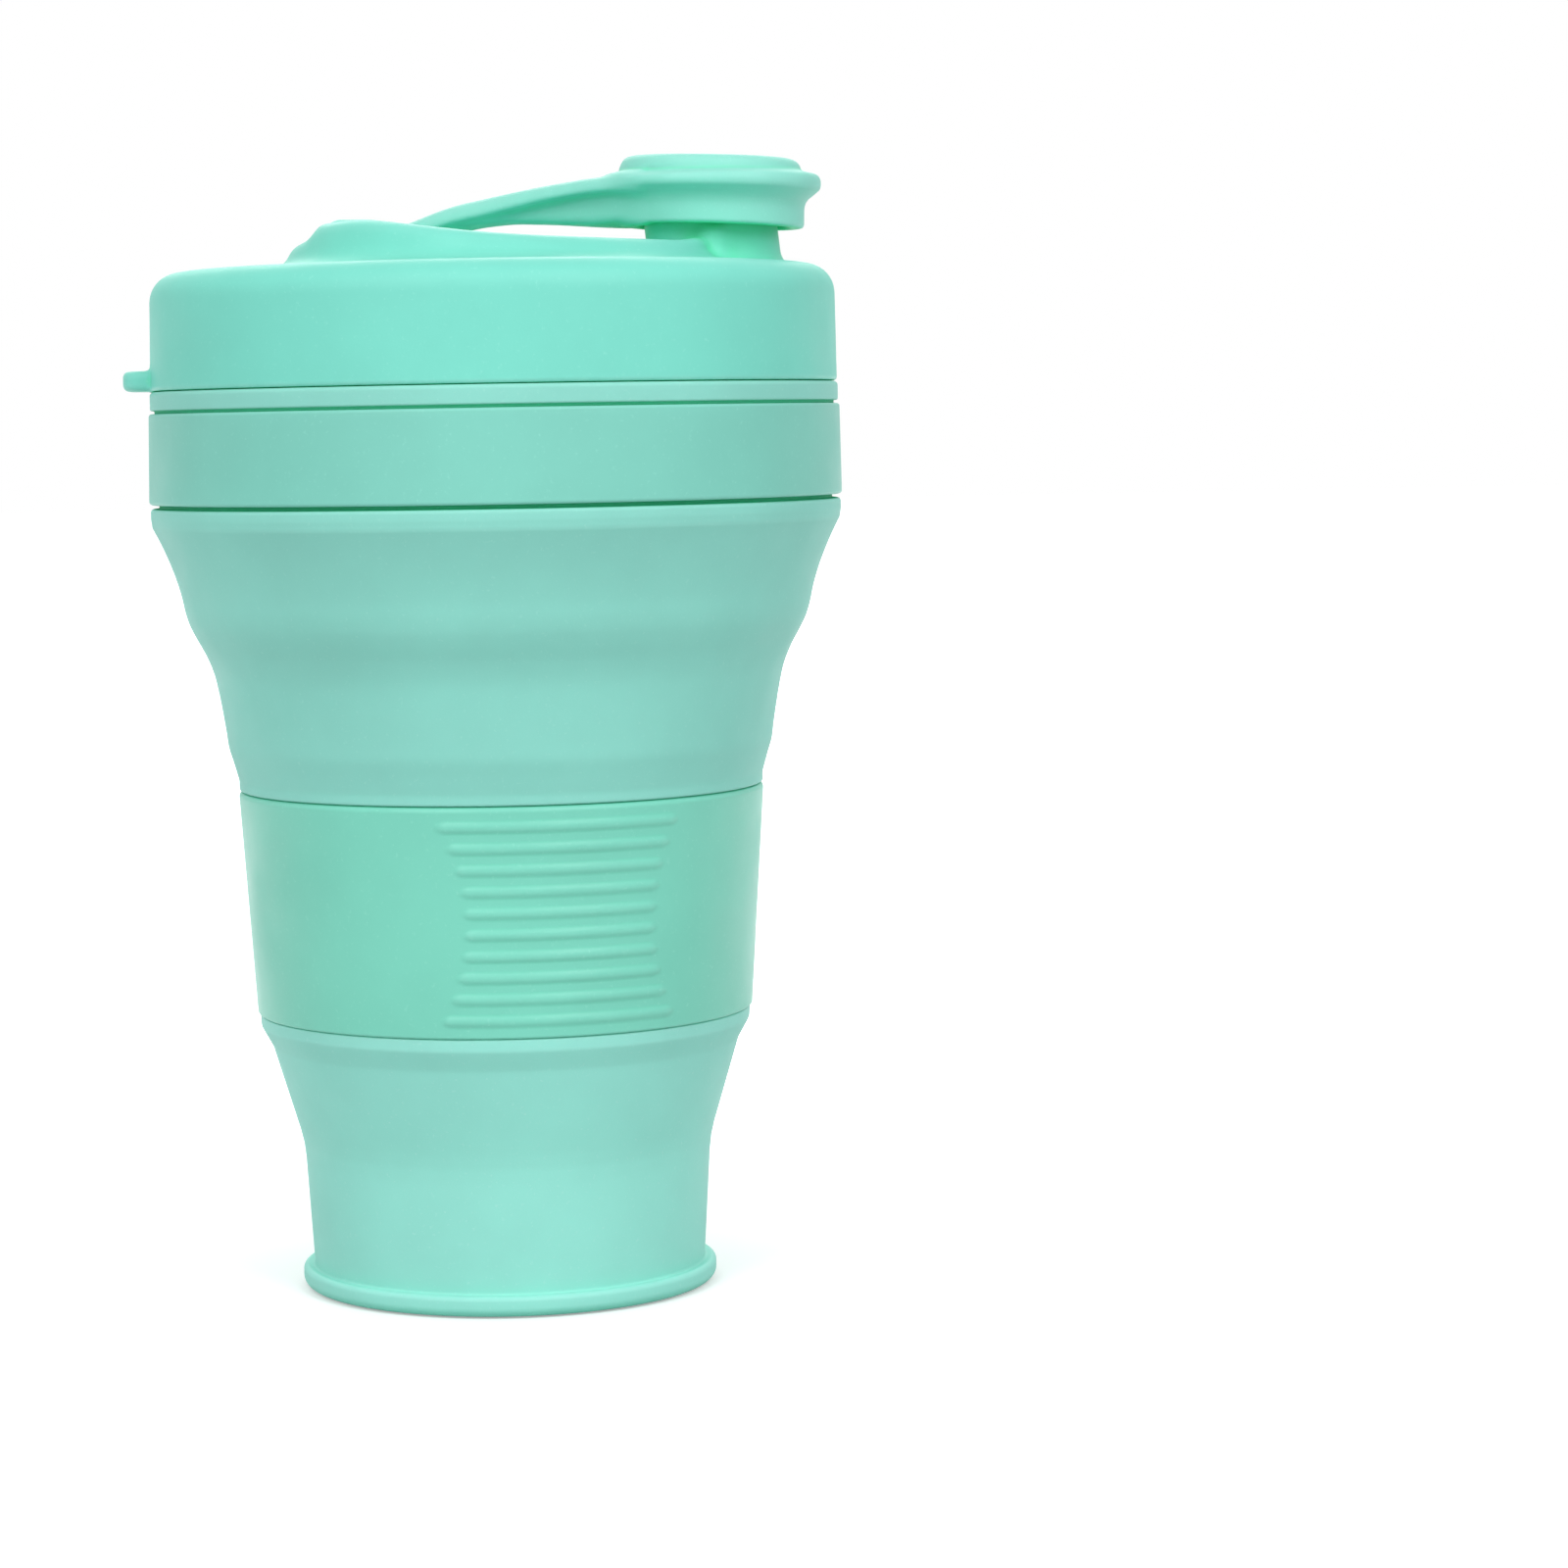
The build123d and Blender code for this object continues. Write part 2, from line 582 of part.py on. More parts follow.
def strap_plan(start_half_width, inset):
    """Outline of the strap seen from above: narrow quickly to the neck, then taper to the root."""
    neck = STRAP_NECK_HALF_WIDTH - inset
    root = STRAP_ROOT_HALF_WIDTH - inset
    return make_face(FilletPolyline(
        (0, start_half_width), (-STRAP_NECK_REACH, neck), (-strap_end, root),
        (-strap_end, -root), (-STRAP_NECK_REACH, -neck), (0, -start_half_width),
        radius=[0, STRAP_NECK_ROUND, 0, 0, STRAP_NECK_ROUND, 0],
        close=True,
    ))


def strap_layer(deep, start_half_width, inset):
    """Part of the strap inside one side view and one plan."""
    side = extrude(Plane.XZ * strap_side(deep), amount=FLANGE_RADIUS, both=True)
    low = skirt_bottom - STRAP_ROOT_THICKNESS
    return side & Pos(0, 0, low) * extrude(strap_plan(start_half_width, inset), amount=button_top - low)


def stopper():
    """Stopper and strap, one moulding: the strap is a wide band over a narrower keel."""
    band = strap_layer(False, FLANGE_RADIUS, 0)
    keel = strap_layer(True, SKIRT_RADIUS, STRAP_KEEL_INSET)
    return on_spout(stopper_cap() + band + keel)


def strap_anchor():
    """The strap's root behind the hinge line, and its tongue in the anchor block's socket."""
    near = hinge_reach + HINGE_GAP
    top = strap_root_top - 2 * HINGE_GAP * STRAP_ROOT_SLOPE
    fall = STRAP_ROOT_SLOPE * (STRAP_REACH - near)
    side = make_face(Polyline(
        (-near, top), (-STRAP_REACH, top - fall),
        (-STRAP_REACH, top - fall - STRAP_ROOT_THICKNESS), (-near, top - STRAP_ROOT_THICKNESS),
        close=True,
    ))
    root = extrude(Plane.XZ * side, amount=STRAP_ROOT_HALF_WIDTH, both=True)
    return on_spout(root + tongue(0))


PARTS = {
    "cup_base": base_cup,
    "cup_lower_fold": lower_fold,
    "cup_grip_wall": grip_wall,
    "grip_sleeve": grip_sleeve,
    "cup_upper_fold": upper_fold,
    "cup_neck": cup_neck,
    "collar": collar,
    "lid_shell": lid_shell,
    "lid_seal": lid_seal,
    "stopper": stopper,
    "strap_anchor": strap_anchor,
}

for name, maker in PARTS.items():
    export_step(maker(), f"parts/{name}.step")

# The strap bends about a level line across it, just above its top face at the root.
hinge_x = SPOUT_OFFSET + hinge_reach * cos(radians(STRAP_HEADING))
hinge_y = hinge_reach * sin(radians(STRAP_HEADING))
print("strap hinge at", round(hinge_x, 3), round(hinge_y, 3), round(strap_root_top + HINGE_LIFT, 3))
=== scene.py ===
import math

import bmesh
import bpy
import numpy as np
from mathutils import Matrix, Vector


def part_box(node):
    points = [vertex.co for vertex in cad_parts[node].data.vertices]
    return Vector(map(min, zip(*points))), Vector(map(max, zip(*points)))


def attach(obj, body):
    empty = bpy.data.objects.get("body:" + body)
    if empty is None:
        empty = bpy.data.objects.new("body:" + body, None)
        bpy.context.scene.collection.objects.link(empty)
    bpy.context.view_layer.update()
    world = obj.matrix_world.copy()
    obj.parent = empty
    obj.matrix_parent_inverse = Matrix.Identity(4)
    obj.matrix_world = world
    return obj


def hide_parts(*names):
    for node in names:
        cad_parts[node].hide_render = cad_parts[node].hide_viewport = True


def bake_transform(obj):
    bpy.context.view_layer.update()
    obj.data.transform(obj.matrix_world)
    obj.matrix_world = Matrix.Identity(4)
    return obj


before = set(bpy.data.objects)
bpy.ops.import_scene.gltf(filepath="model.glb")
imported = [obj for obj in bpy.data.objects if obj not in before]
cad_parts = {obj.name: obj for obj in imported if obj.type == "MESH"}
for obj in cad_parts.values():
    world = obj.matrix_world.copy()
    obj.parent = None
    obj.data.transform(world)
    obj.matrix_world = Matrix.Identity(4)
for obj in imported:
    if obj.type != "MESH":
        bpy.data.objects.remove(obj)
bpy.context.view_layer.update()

# A collapsible travel cup. Shapes are worked out in millimetres, +Z up, and written in metres.
# Heights come from the boxes of the CAD nodes, so the pieces stand where the frame says.
# The spout stands on the +X side of the lid.

MM = 0.001


def low(node):
    """Lowest height of a CAD node, in millimetres."""
    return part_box(node)[0].z / MM


def high(node):
    """Highest height of a CAD node, in millimetres."""
    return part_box(node)[1].z / MM


def reach(node):
    """Largest X of a CAD node, in millimetres: the outer radius of a turned one."""
    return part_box(node)[1].x / MM


# Heights, from the foot up
base_top = high("cup_base")
grip_bottom = low("cup_grip_wall")
sleeve_bottom = low("grip_sleeve")
sleeve_top = high("grip_sleeve")
grip_top = high("cup_grip_wall")
fold_top = high("cup_upper_fold")
neck_bottom = low("cup_neck")
collar_bottom = low("collar")
collar_top = high("collar")
rim_top = high("cup_neck")
lid_bottom = rim_top + 0.1
plug_bottom = low("lid_shell")
spout_top = high("lid_shell")
lid_top = spout_top - 7.7
roof_top = lid_top + 0.6
lid_ceiling = roof_top - 3.2
well_floor = lid_top - 0.9
ridge_crest = lid_top + 5.8
block_top = ridge_crest + 1.3
skirt_bottom = spout_top - 2.9
flange_top = spout_top + 4.6
cap_roof = spout_top + 0.5
stopper_bottom = low("stopper")
button_top = high("stopper")

# Radii
foot_radius = reach("cup_base")
base_radius = 28.2
lower_fold_radius = reach("cup_lower_fold")
lip_low_radius = 33.85
sleeve_low_radius = 34.15
sleeve_top_radius = 36.2
lip_top_radius = 36.1
fold_top_radius = reach("cup_upper_fold")
shoulder_radius = 47.4
collar_low_radius = reach("collar")
collar_top_radius = 47.4
neck_radius = 44.65
neck_bore = 42.45
rim_radius = 47.2
lid_low_radius = 47.1
lid_top_radius = 46.8
plug_radius = 41.85
plug_bore = 40.05
groove_radius = 41.05
seal_radius = reach("lid_seal")

# Spout, stopper, strap and ridge. Reaches are distances from the spout's axis along the strap.
SPOUT_X = 30.6
SPOUT_RADIUS = 9.15
SPOUT_LEAN = 0.55
SPOUT_BORE = 6.6
SKIRT_RADIUS = 12.4
SKIRT_BORE = 10.2
FLANGE_RADIUS = 14.8
BUTTON_RADIUS = 12.3
STRAP_HEADING = math.radians(160)
STRAP_ALONG = (math.cos(STRAP_HEADING), math.sin(STRAP_HEADING))
BLOCK_REACH = 47.5
HINGE_REACH = 44.0
RIDGE_X = 0.8
RIDGE_HALF_LENGTH = 30.2
RIDGE_EXTRA = 1.0
RIDGE_HALF_WIDTH = 38.0


# ---------------------------------------------------------------- camera, lights, floor

# Metres, millimetres of lens, radians, and shares of the frame
CAMERA_PLACE = (-0.0001, -0.6040, 0.1181)
CAMERA_LENS = 100.55
CAMERA_PITCH = 0.0464
CAMERA_YAW = 0.0295
CAMERA_ROLL = 0.0171
CAMERA_SHIFT = (0.100, -0.100)
CAMERA_SENSOR = 36.0
CAMERA_NEAR, CAMERA_FAR = 0.05, 20.0
# Strength of the even light from all round
SURROUNDINGS = 0.39
LIGHT_AIM = (0, 0, 0.08)
KEY_WATTS = 36.5
FILL_WATTS = 26.0
FLOOR_HALF = 6.0
FLOOR_DROP = 0.0002
# Greys of the floor as the camera sees it, and as it lights the cup
FLOOR_SEEN = 0.80
FLOOR_BOUNCE = 0.60
# Radii between which the floor's own glow rises, and the glow at each
GLOW_NEAR, GLOW_FAR = 0.03, 0.13
GLOW_LOW, GLOW_HIGH = 0.34, 1.0


def add_camera():
    """Camera in front of the cup, set to the picture's viewing angle."""
    data = bpy.data.cameras.new("camera")
    data.sensor_width = CAMERA_SENSOR
    data.lens = CAMERA_LENS
    data.shift_x, data.shift_y = CAMERA_SHIFT
    data.clip_start = CAMERA_NEAR
    data.clip_end = CAMERA_FAR
    camera = bpy.data.objects.new("camera", data)
    bpy.context.scene.collection.objects.link(camera)
    turn = Matrix.Rotation(-CAMERA_YAW, 4, "Z")
    turn = turn @ Matrix.Rotation(math.radians(90) - CAMERA_PITCH, 4, "X")
    turn = turn @ Matrix.Rotation(-CAMERA_ROLL, 4, "Z")
    camera.matrix_world = Matrix.Translation(CAMERA_PLACE) @ turn
    bpy.context.scene.camera = camera


def area_light(name, place, width, height, watts):
    """Soft rectangular lamp at a place, aimed at the cup."""
    data = bpy.data.lights.new(name, "AREA")
    data.shape = "RECTANGLE"
    data.size = width
    data.size_y = height
    data.energy = watts
    lamp = bpy.data.objects.new(name, data)
    bpy.context.scene.collection.objects.link(lamp)
    lamp.location = place
    lamp.rotation_euler = (Vector(LIGHT_AIM) - Vector(place)).to_track_quat("-Z", "Y").to_euler()


def white_shader(nodes, kind, share):
    """Shader of a kind in a grey, as a share of white."""
    shader = nodes.new(kind)
    shader.inputs["Color"].default_value = (share, share, share, 1)
    return shader


def backdrop_world():
    """Even pale surroundings, which the camera and mirror-like reflections see as white."""
    world = bpy.data.worlds.new("studio")
    bpy.context.scene.world = world
    world.use_nodes = True
    nodes, links = world.node_tree.nodes, world.node_tree.links
    nodes.clear()
    out = nodes.new("ShaderNodeOutputWorld")
    mix = nodes.new("ShaderNodeMixShader")
    soft, white = (white_shader(nodes, "ShaderNodeBackground", 1) for _ in range(2))
    soft.inputs["Strength"].default_value = SURROUNDINGS
    links.new(seen_directly(nodes, links), mix.inputs[0])
    links.new(soft.outputs[0], mix.inputs[1])
    links.new(white.outputs[0], mix.inputs[2])
    links.new(mix.outputs[0], out.inputs["Surface"])


def seen_directly(nodes, links):
    """1 for rays from the camera and for glossy and transmitted ones, otherwise 0."""
    path = nodes.new("ShaderNodeLightPath")
    total = path.outputs["Is Camera Ray"]
    for name in ("Is Glossy Ray", "Is Transmission Ray"):
        total = reckoned(nodes, links, "MAXIMUM", total, path.outputs[name])
    return total


def reckoned(nodes, links, operation, first, second):
    """Result of an operation on two sockets."""
    node = nodes.new("ShaderNodeMath")
    node.operation = operation
    links.new(first, node.inputs[0])
    links.new(second, node.inputs[1])
    return node.outputs[0]


def add_floor():
    """Plain pale floor that keeps the cup's shadow and fades to white further out."""
    mesh = bpy.data.meshes.new("floor")
    signs = ((-1, -1), (1, -1), (1, 1), (-1, 1))
    corners = [(x * FLOOR_HALF, y * FLOOR_HALF, 0) for x, y in signs]
    mesh.from_pydata(corners, [], [(0, 1, 2, 3)])
    floor = bpy.data.objects.new("floor", mesh)
    bpy.context.scene.collection.objects.link(floor)
    floor.location.z = -FLOOR_DROP
    material = bpy.data.materials.new("floor_white")
    material.use_nodes = True
    nodes, links = material.node_tree.nodes, material.node_tree.links
    nodes.clear()
    out = nodes.new("ShaderNodeOutputMaterial")
    away = nodes.new("ShaderNodeVectorMath")
    away.operation = "LENGTH"
    links.new(nodes.new("ShaderNodeNewGeometry").outputs["Position"], away.inputs[0])
    dull = white_shader(nodes, "ShaderNodeBsdfDiffuse", FLOOR_BOUNCE)
    pale = white_shader(nodes, "ShaderNodeBsdfDiffuse", FLOOR_SEEN)
    glow = nodes.new("ShaderNodeEmission")
    rise = spread(nodes, links, away.outputs["Value"], GLOW_NEAR, GLOW_FAR, GLOW_LOW, GLOW_HIGH)
    links.new(rise, glow.inputs["Strength"])
    both = nodes.new("ShaderNodeAddShader")
    links.new(pale.outputs[0], both.inputs[0])
    links.new(glow.outputs[0], both.inputs[1])
    mix = nodes.new("ShaderNodeMixShader")
    links.new(seen_directly(nodes, links), mix.inputs[0])
    links.new(dull.outputs[0], mix.inputs[1])
    links.new(both.outputs[0], mix.inputs[2])
    links.new(mix.outputs[0], out.inputs["Surface"])
    mesh.materials.append(material)


# ---------------------------------------------------------------- materials

# Scales of the patterns, in cycles per metre
MOTTLE_SCALE = 38.0
SPECK_SCALE = 1900.0
WEAR_SCALE = 210.0
SHEEN_SCALE = 90.0
WAVE_SCALE = 55.0
# Ranges of a pattern or of the bend, and what they are carried to
MOTTLE_RANGE = (0.35, 0.65, 0.0, 1.0)
SPECK_RANGE = (0.62, 0.80, 0.0, 0.35)
# Paler convex edges are partly wear and partly a painted highlight
EDGE_WEAR_AND_HIGHLIGHT_RANGE = (0.505, 0.56, 0.0, 0.55)
PATCH_RANGE = (0.40, 0.62, 0.35, 1.0)
# The hollow and shelter ranges set how strongly painted shade deepens the colour
HOLLOW_SHADE_RANGE = (0.40, 0.495, 0.7, 0.0)
SHELTER_SHADE_RANGE = (0.12, 0.62, 0.95, 0.0)
# Shares of the colour where the mottling is palest and dimmest, and how far roughness varies
PALE_SHARE = 1.035
DIM_SHARE = 0.965
SHEEN_CHANGE = 0.06
# Metres: how near another surface must be for painted shade to fall on a place, and how far light
# scatters inside
PAINTED_SHADE_REACH = 0.009
PAINTED_SHADE_SAMPLES = 8
SCATTER_REACH = 0.0018
SCATTER_COLOUR = (0.6, 1.0, 0.9)
REFRACTION = 1.45


def material_nodes(name):
    """New material with its node tree and main shader."""
    material = bpy.data.materials.new(name)
    material.use_nodes = True
    tree = material.node_tree
    return material, tree.nodes, tree.links, tree.nodes["Principled BSDF"]


def noise(nodes, links, place, scale, detail, rough):
    """Noise over the surface, in cycles per metre."""
    node = nodes.new("ShaderNodeTexNoise")
    node.inputs["Scale"].default_value = scale
    node.inputs["Detail"].default_value = detail
    node.inputs["Roughness"].default_value = rough
    links.new(place, node.inputs["Vector"])
    return node.outputs["Fac"]


def spread(nodes, links, value, low_in, high_in, low_out, high_out):
    """Value carried from one range to another, held at its ends."""
    node = nodes.new("ShaderNodeMapRange")
    limits = {"From Min": low_in, "From Max": high_in, "To Min": low_out, "To Max": high_out}
    for socket, number in limits.items():
        node.inputs[socket].default_value = number
    links.new(value, node.inputs["Value"])
    return node.outputs["Result"]


def mixed(nodes, links, amount, first, second):
    """Colour between two others, each a colour or a socket."""
    node = nodes.new("ShaderNodeMix")
    node.data_type = "RGBA"
    sockets = [s for s in node.inputs if s.type == "RGBA"]
    links.new(amount, node.inputs[0])
    for socket, colour in zip(sockets, (first, second)):
        if isinstance(colour, tuple):
            socket.default_value = (*colour, 1)
        else:
            links.new(colour, socket)
    return [s for s in node.outputs if s.type == "RGBA"][0]


def bumped(nodes, links, height, distance, under=None):
    """Normal with a bump from a pattern, over another bump if there is one."""
    node = nodes.new("ShaderNodeBump")
    node.inputs["Distance"].default_value = distance
    node.inputs["Strength"].default_value = 1.0
    links.new(height, node.inputs["Height"])
    if under:
        links.new(under, node.inputs["Normal"])
    return node.outputs["Normal"]


def moulded(name, colour, wear_and_highlight, painted_shade, rough, grain, grain_size, wave=0.0, soft=0.0, gloss=0.3):
    """Moulded plastic or silicone: mottled, paler on worn edges (partly a painted highlight), with
    painted shade in hollows and where other surfaces are near.

    The colours are 0-255 display values. grain and wave are heights of bumps, in metres."""
    colour, wear_and_highlight, painted_shade = (from_srgb(*values) for values in (colour, wear_and_highlight, painted_shade))
    material, nodes, links, shader = material_nodes(name)
    place = nodes.new("ShaderNodeTexCoord").outputs["Object"]
    attribute = nodes.new("ShaderNodeAttribute")
    attribute.attribute_name = "bend"
    bend = attribute.outputs["Fac"]
    # Mottling and specks
    cloud = noise(nodes, links, place, MOTTLE_SCALE, 4.0, 0.55)
    speck = noise(nodes, links, place, SPECK_SCALE, 2.0, 0.6)
    pale = tuple(min(1.0, c * PALE_SHARE) for c in colour)
    dim = tuple(c * DIM_SHARE for c in colour)
    tone = mixed(nodes, links, spread(nodes, links, cloud, *MOTTLE_RANGE), dim, pale)
    tone = mixed(nodes, links, spread(nodes, links, speck, *SPECK_RANGE), tone, wear_and_highlight)
    # Wear on edges, in patches, which is partly a painted highlight on convex edges and rib crests
    edge = spread(nodes, links, bend, *EDGE_WEAR_AND_HIGHLIGHT_RANGE)
    patch = noise(nodes, links, place, WEAR_SCALE, 5.0, 0.7)
    patch = spread(nodes, links, patch, *PATCH_RANGE)
    tone = mixed(nodes, links, reckoned(nodes, links, "MULTIPLY", edge, patch), tone, wear_and_highlight)
    # Painted shade: a deeper colour in hollows and where other surfaces are near
    tone = mixed(nodes, links, spread(nodes, links, bend, *HOLLOW_SHADE_RANGE), tone, painted_shade)
    shade_occlusion = nodes.new("ShaderNodeAmbientOcclusion")
    shade_occlusion.samples = PAINTED_SHADE_SAMPLES
    shade_occlusion.inputs["Distance"].default_value = PAINTED_SHADE_REACH
    painted_shade_amount = spread(nodes, links, shade_occlusion.outputs["AO"], *SHELTER_SHADE_RANGE)
    tone = mixed(nodes, links, painted_shade_amount, tone, painted_shade)
    links.new(tone, shader.inputs["Base Color"])
    # Uneven sheen, light that scatters inside, and bumps
    sheen = noise(nodes, links, place, SHEEN_SCALE, 5.0, 0.6)
    sheen = spread(nodes, links, sheen, 0.3, 0.7, rough - SHEEN_CHANGE, rough + SHEEN_CHANGE)
    links.new(sheen, shader.inputs["Roughness"])
    shader.inputs["IOR"].default_value = REFRACTION
    shader.inputs["Specular IOR Level"].default_value = gloss
    shader.inputs["Subsurface Weight"].default_value = soft
    shader.inputs["Subsurface Radius"].default_value = SCATTER_COLOUR
    shader.inputs["Subsurface Scale"].default_value = SCATTER_REACH
    normal = None
    if wave:
        normal = bumped(nodes, links, noise(nodes, links, place, WAVE_SCALE, 2.0, 0.5), wave)
    fine = noise(nodes, links, place, 1.0 / grain_size, 3.0, 0.6)
    links.new(bumped(nodes, links, fine, grain, normal), shader.inputs["Normal"])
    return material


def from_srgb(red, green, blue):
    """Linear colour from 0-255 display values."""
    def linear(value):
        share = value / 255
        return share / 12.92 if share <= 0.04045 else ((share + 0.055) / 1.055) ** 2.4
    return linear(red), linear(green), linear(blue)


# ---------------------------------------------------------------- outlines and turned pieces

TURN_STEPS = 256
ROUNDING_STEP = math.radians(10)
# Metres between points that are joined
SAME_PLACE = 2e-6


def rounded(corners):
    """Points along a closed outline of (radius, height, rounding) corners."""
    places = [np.array(corner[:2], float) for corner in corners]
    points = []
    for index, corner in enumerate(corners):
        here, before, after = places[index], places[index - 1], places[(index + 1) % len(places)]
        size = corner[2]
        if size <= 0:
            points.append(here)
            continue
        back = (before - here) / np.linalg.norm(before - here)
        ahead = (after - here) / np.linalg.norm(after - here)
        half = math.acos(float(np.clip(back @ ahead, -1, 1))) / 2
        middle = back + ahead
        centre = here + middle / np.linalg.norm(middle) * size / math.sin(half)
        first = here + back * size / math.tan(half) - centre
        last = here + ahead * size / math.tan(half) - centre
        sweep = math.atan2(first[0] * last[1] - first[1] * last[0], first @ last)
        count = max(2, math.ceil(abs(sweep) / ROUNDING_STEP))
        for step in range(count + 1):
            angle = sweep * step / count
            c, s = math.cos(angle), math.sin(angle)
            turned_by = [c * first[0] - s * first[1], s * first[0] + c * first[1]]
            points.append(centre + np.array(turned_by))
    return points


def divided(points, step, closed=True):
    """Outline with more points, so that no stretch is longer than the step."""
    result = []
    ends = points[1:] + points[:1] if closed else points[1:]
    for here, after in zip(points, ends):
        count = max(1, math.ceil(np.linalg.norm(after - here) / step))
        result += [here + (after - here) * k / count for k in range(count)]
    return result if closed else result + [points[-1]]


def cubic(t, gap, start, end, start_slope, end_slope):
    """Smooth value at a share t of the way across a gap, from the values and slopes at its ends."""
    value = (2 * t**3 - 3 * t**2 + 1) * start + (t**3 - 2 * t**2 + t) * gap * start_slope
    return value + (3 * t**2 - 2 * t**3) * end + (t**3 - t**2) * gap * end_slope


def hermite(places, knots):
    """Smooth run through (place, value, slope) knots."""
    at, value, slope = np.array(knots).T
    places = np.clip(places, at[0], at[-1])
    index = np.clip(np.searchsorted(at, places, side="right") - 1, 0, len(at) - 2)
    gap = at[index + 1] - at[index]
    t = (places - at[index]) / gap
    return cubic(t, gap, value[index], value[index + 1], slope[index], slope[index + 1])


def curve(points, step):
    """Smooth run through (radius, height) points, as points about one step apart, ends included."""
    points = np.array(points, float)
    gaps = np.linalg.norm(np.diff(points, axis=0), axis=1)
    along = np.concatenate([[0], np.cumsum(gaps)])
    slopes = np.gradient(points, along, axis=0)
    places = np.linspace(0, along[-1], max(2, round(along[-1] / step)) + 1)
    index = np.clip(np.searchsorted(along, places, side="right") - 1, 0, len(along) - 2)
    gap = gaps[index][:, None]
    t = (places - along[index])[:, None] / gap
    return list(cubic(t, gap, points[index], points[index + 1], slopes[index], slopes[index + 1]))


def finished(name, points, quads):
    """Object from points in millimetres and quads, shaded smooth, with doubled points joined."""
    mesh = bpy.data.meshes.new(name)
    mesh.vertices.add(len(points))
    mesh.vertices.foreach_set("co", (np.asarray(points) * MM).astype(np.float32).ravel())
    quads = np.asarray(quads, np.int32)
    mesh.loops.add(quads.size)
    mesh.loops.foreach_set("vertex_index", quads.ravel())
    mesh.polygons.add(len(quads))
    mesh.polygons.foreach_set("loop_start", np.arange(0, quads.size, 4, dtype=np.int32))
    mesh.update(calc_edges=True)
    form = bmesh.new()
    form.from_mesh(mesh)
    bmesh.ops.remove_doubles(form, verts=form.verts, dist=SAME_PLACE)
    stray = [vertex for vertex in form.verts if not vertex.link_faces]
    bmesh.ops.delete(form, geom=stray, context="VERTS")
    close_rings(form)
    bmesh.ops.recalc_face_normals(form, faces=form.faces)
    form.to_mesh(mesh)
    form.free()
    mesh.shade_smooth()
    bend = mesh.attributes.new("bend", "FLOAT", "POINT")
    bend.data.foreach_set("value", bends(mesh).astype(np.float32))
    piece = bpy.data.objects.new(name, mesh)
    bpy.context.scene.collection.objects.link(piece)
    return piece


def bends(mesh):
    """Bend of the surface at each vertex: 0.5 where flat, more on edges, less in hollows."""
    count = len(mesh.vertices)
    place, normal = np.empty(count * 3), np.empty(count * 3)
    ends = np.empty(len(mesh.edges) * 2, np.int32)
    mesh.vertices.foreach_get("co", place)
    mesh.vertices.foreach_get("normal", normal)
    mesh.edges.foreach_get("vertices", ends)
    place, normal = place.reshape(-1, 3), normal.reshape(-1, 3)
    here, there = ends.reshape(-1, 2).T
    along = place[there] - place[here]
    along /= np.maximum(np.linalg.norm(along, axis=1, keepdims=True), 1e-12)
    lift = (np.bincount(here, (along * normal[here]).sum(1), count)
            - np.bincount(there, (along * normal[there]).sum(1), count))
    number = np.bincount(ends, minlength=count)
    bend = np.arccos(np.clip(lift / np.maximum(number, 1), -1, 1)) / math.pi
    total = bend + np.bincount(here, bend[there], count) + np.bincount(there, bend[here], count)
    return total / (number + 1)


def close_rings(form):
    """Caps each small open ring with a fan to its centre, in the same order each run."""
    left = dict.fromkeys(edge for edge in form.edges if len(edge.link_faces) == 1)
    while left:
        group, waiting = [], [left.popitem()[0]]
        while waiting:
            edge = waiting.pop()
            group.append(edge)
            for vertex in edge.verts:
                found = [e for e in vertex.link_edges if e in left]
                for e in found:
                    del left[e]
                waiting += found
        corners = dict.fromkeys(vertex for edge in group for vertex in edge.verts)
        middle = form.verts.new(sum((vertex.co for vertex in corners), Vector()) / len(corners))
        for edge in group:
            form.faces.new((edge.verts[0], edge.verts[1], middle))


def angles(steps):
    """Evenly spaced angles of a whole turn."""
    return np.arange(steps) * 2 * math.pi / steps


def turned(name, outline, steps=TURN_STEPS, rise=None):
    """Solid of revolution about Z from a closed outline of (radius, height) points.

    rise adds to the radius, for each angle and point."""
    outline = np.array(outline)
    outline[:, 0] = np.maximum(outline[:, 0], 0.0)
    angle = angles(steps)[:, None]
    radius = np.tile(outline[:, 0], (steps, 1))
    if rise is not None:
        radius = radius + rise
    height = np.tile(outline[:, 1], (steps, 1))
    points = np.stack([radius * np.cos(angle), radius * np.sin(angle), height], axis=-1)
    return finished(name, points.reshape(-1, 3), ring_quads(steps, len(outline)))


def ring_quads(steps, count):
    """Quads between neighbours of a grid closed both round the axis and along the outline."""
    i, j = np.meshgrid(np.arange(steps), np.arange(count), indexing="ij")
    k, m = (i + 1) % steps, (j + 1) % count
    return np.stack([i * count + j, k * count + j, k * count + m, i * count + m], -1).reshape(-1, 4)


# ---------------------------------------------------------------- solid fields

# Millimetres: grid of a turned form's table, and how far the table reaches past the form
TABLE_CELL = 0.1
TABLE_MARGIN = 4.0
# Moves of net points onto the surface: how often, how far at most, and where the slope is taken
SETTLE_ROUNDS = 4
SETTLE_LIMIT = 0.25
SETTLE_PROBE = 0.002
SETTLE_LEAST_SLOPE = 0.05


def join(a, b, blend):
    """Both forms together, with a soft hollow where they meet. A form is negative inside."""
    h = np.maximum(blend - np.abs(a - b), 0) / blend
    return np.minimum(a, b) - h * h * blend / 4


def common(a, b, blend):
    """What two forms share, with rounded edges."""
    return -join(-a, -b, blend)


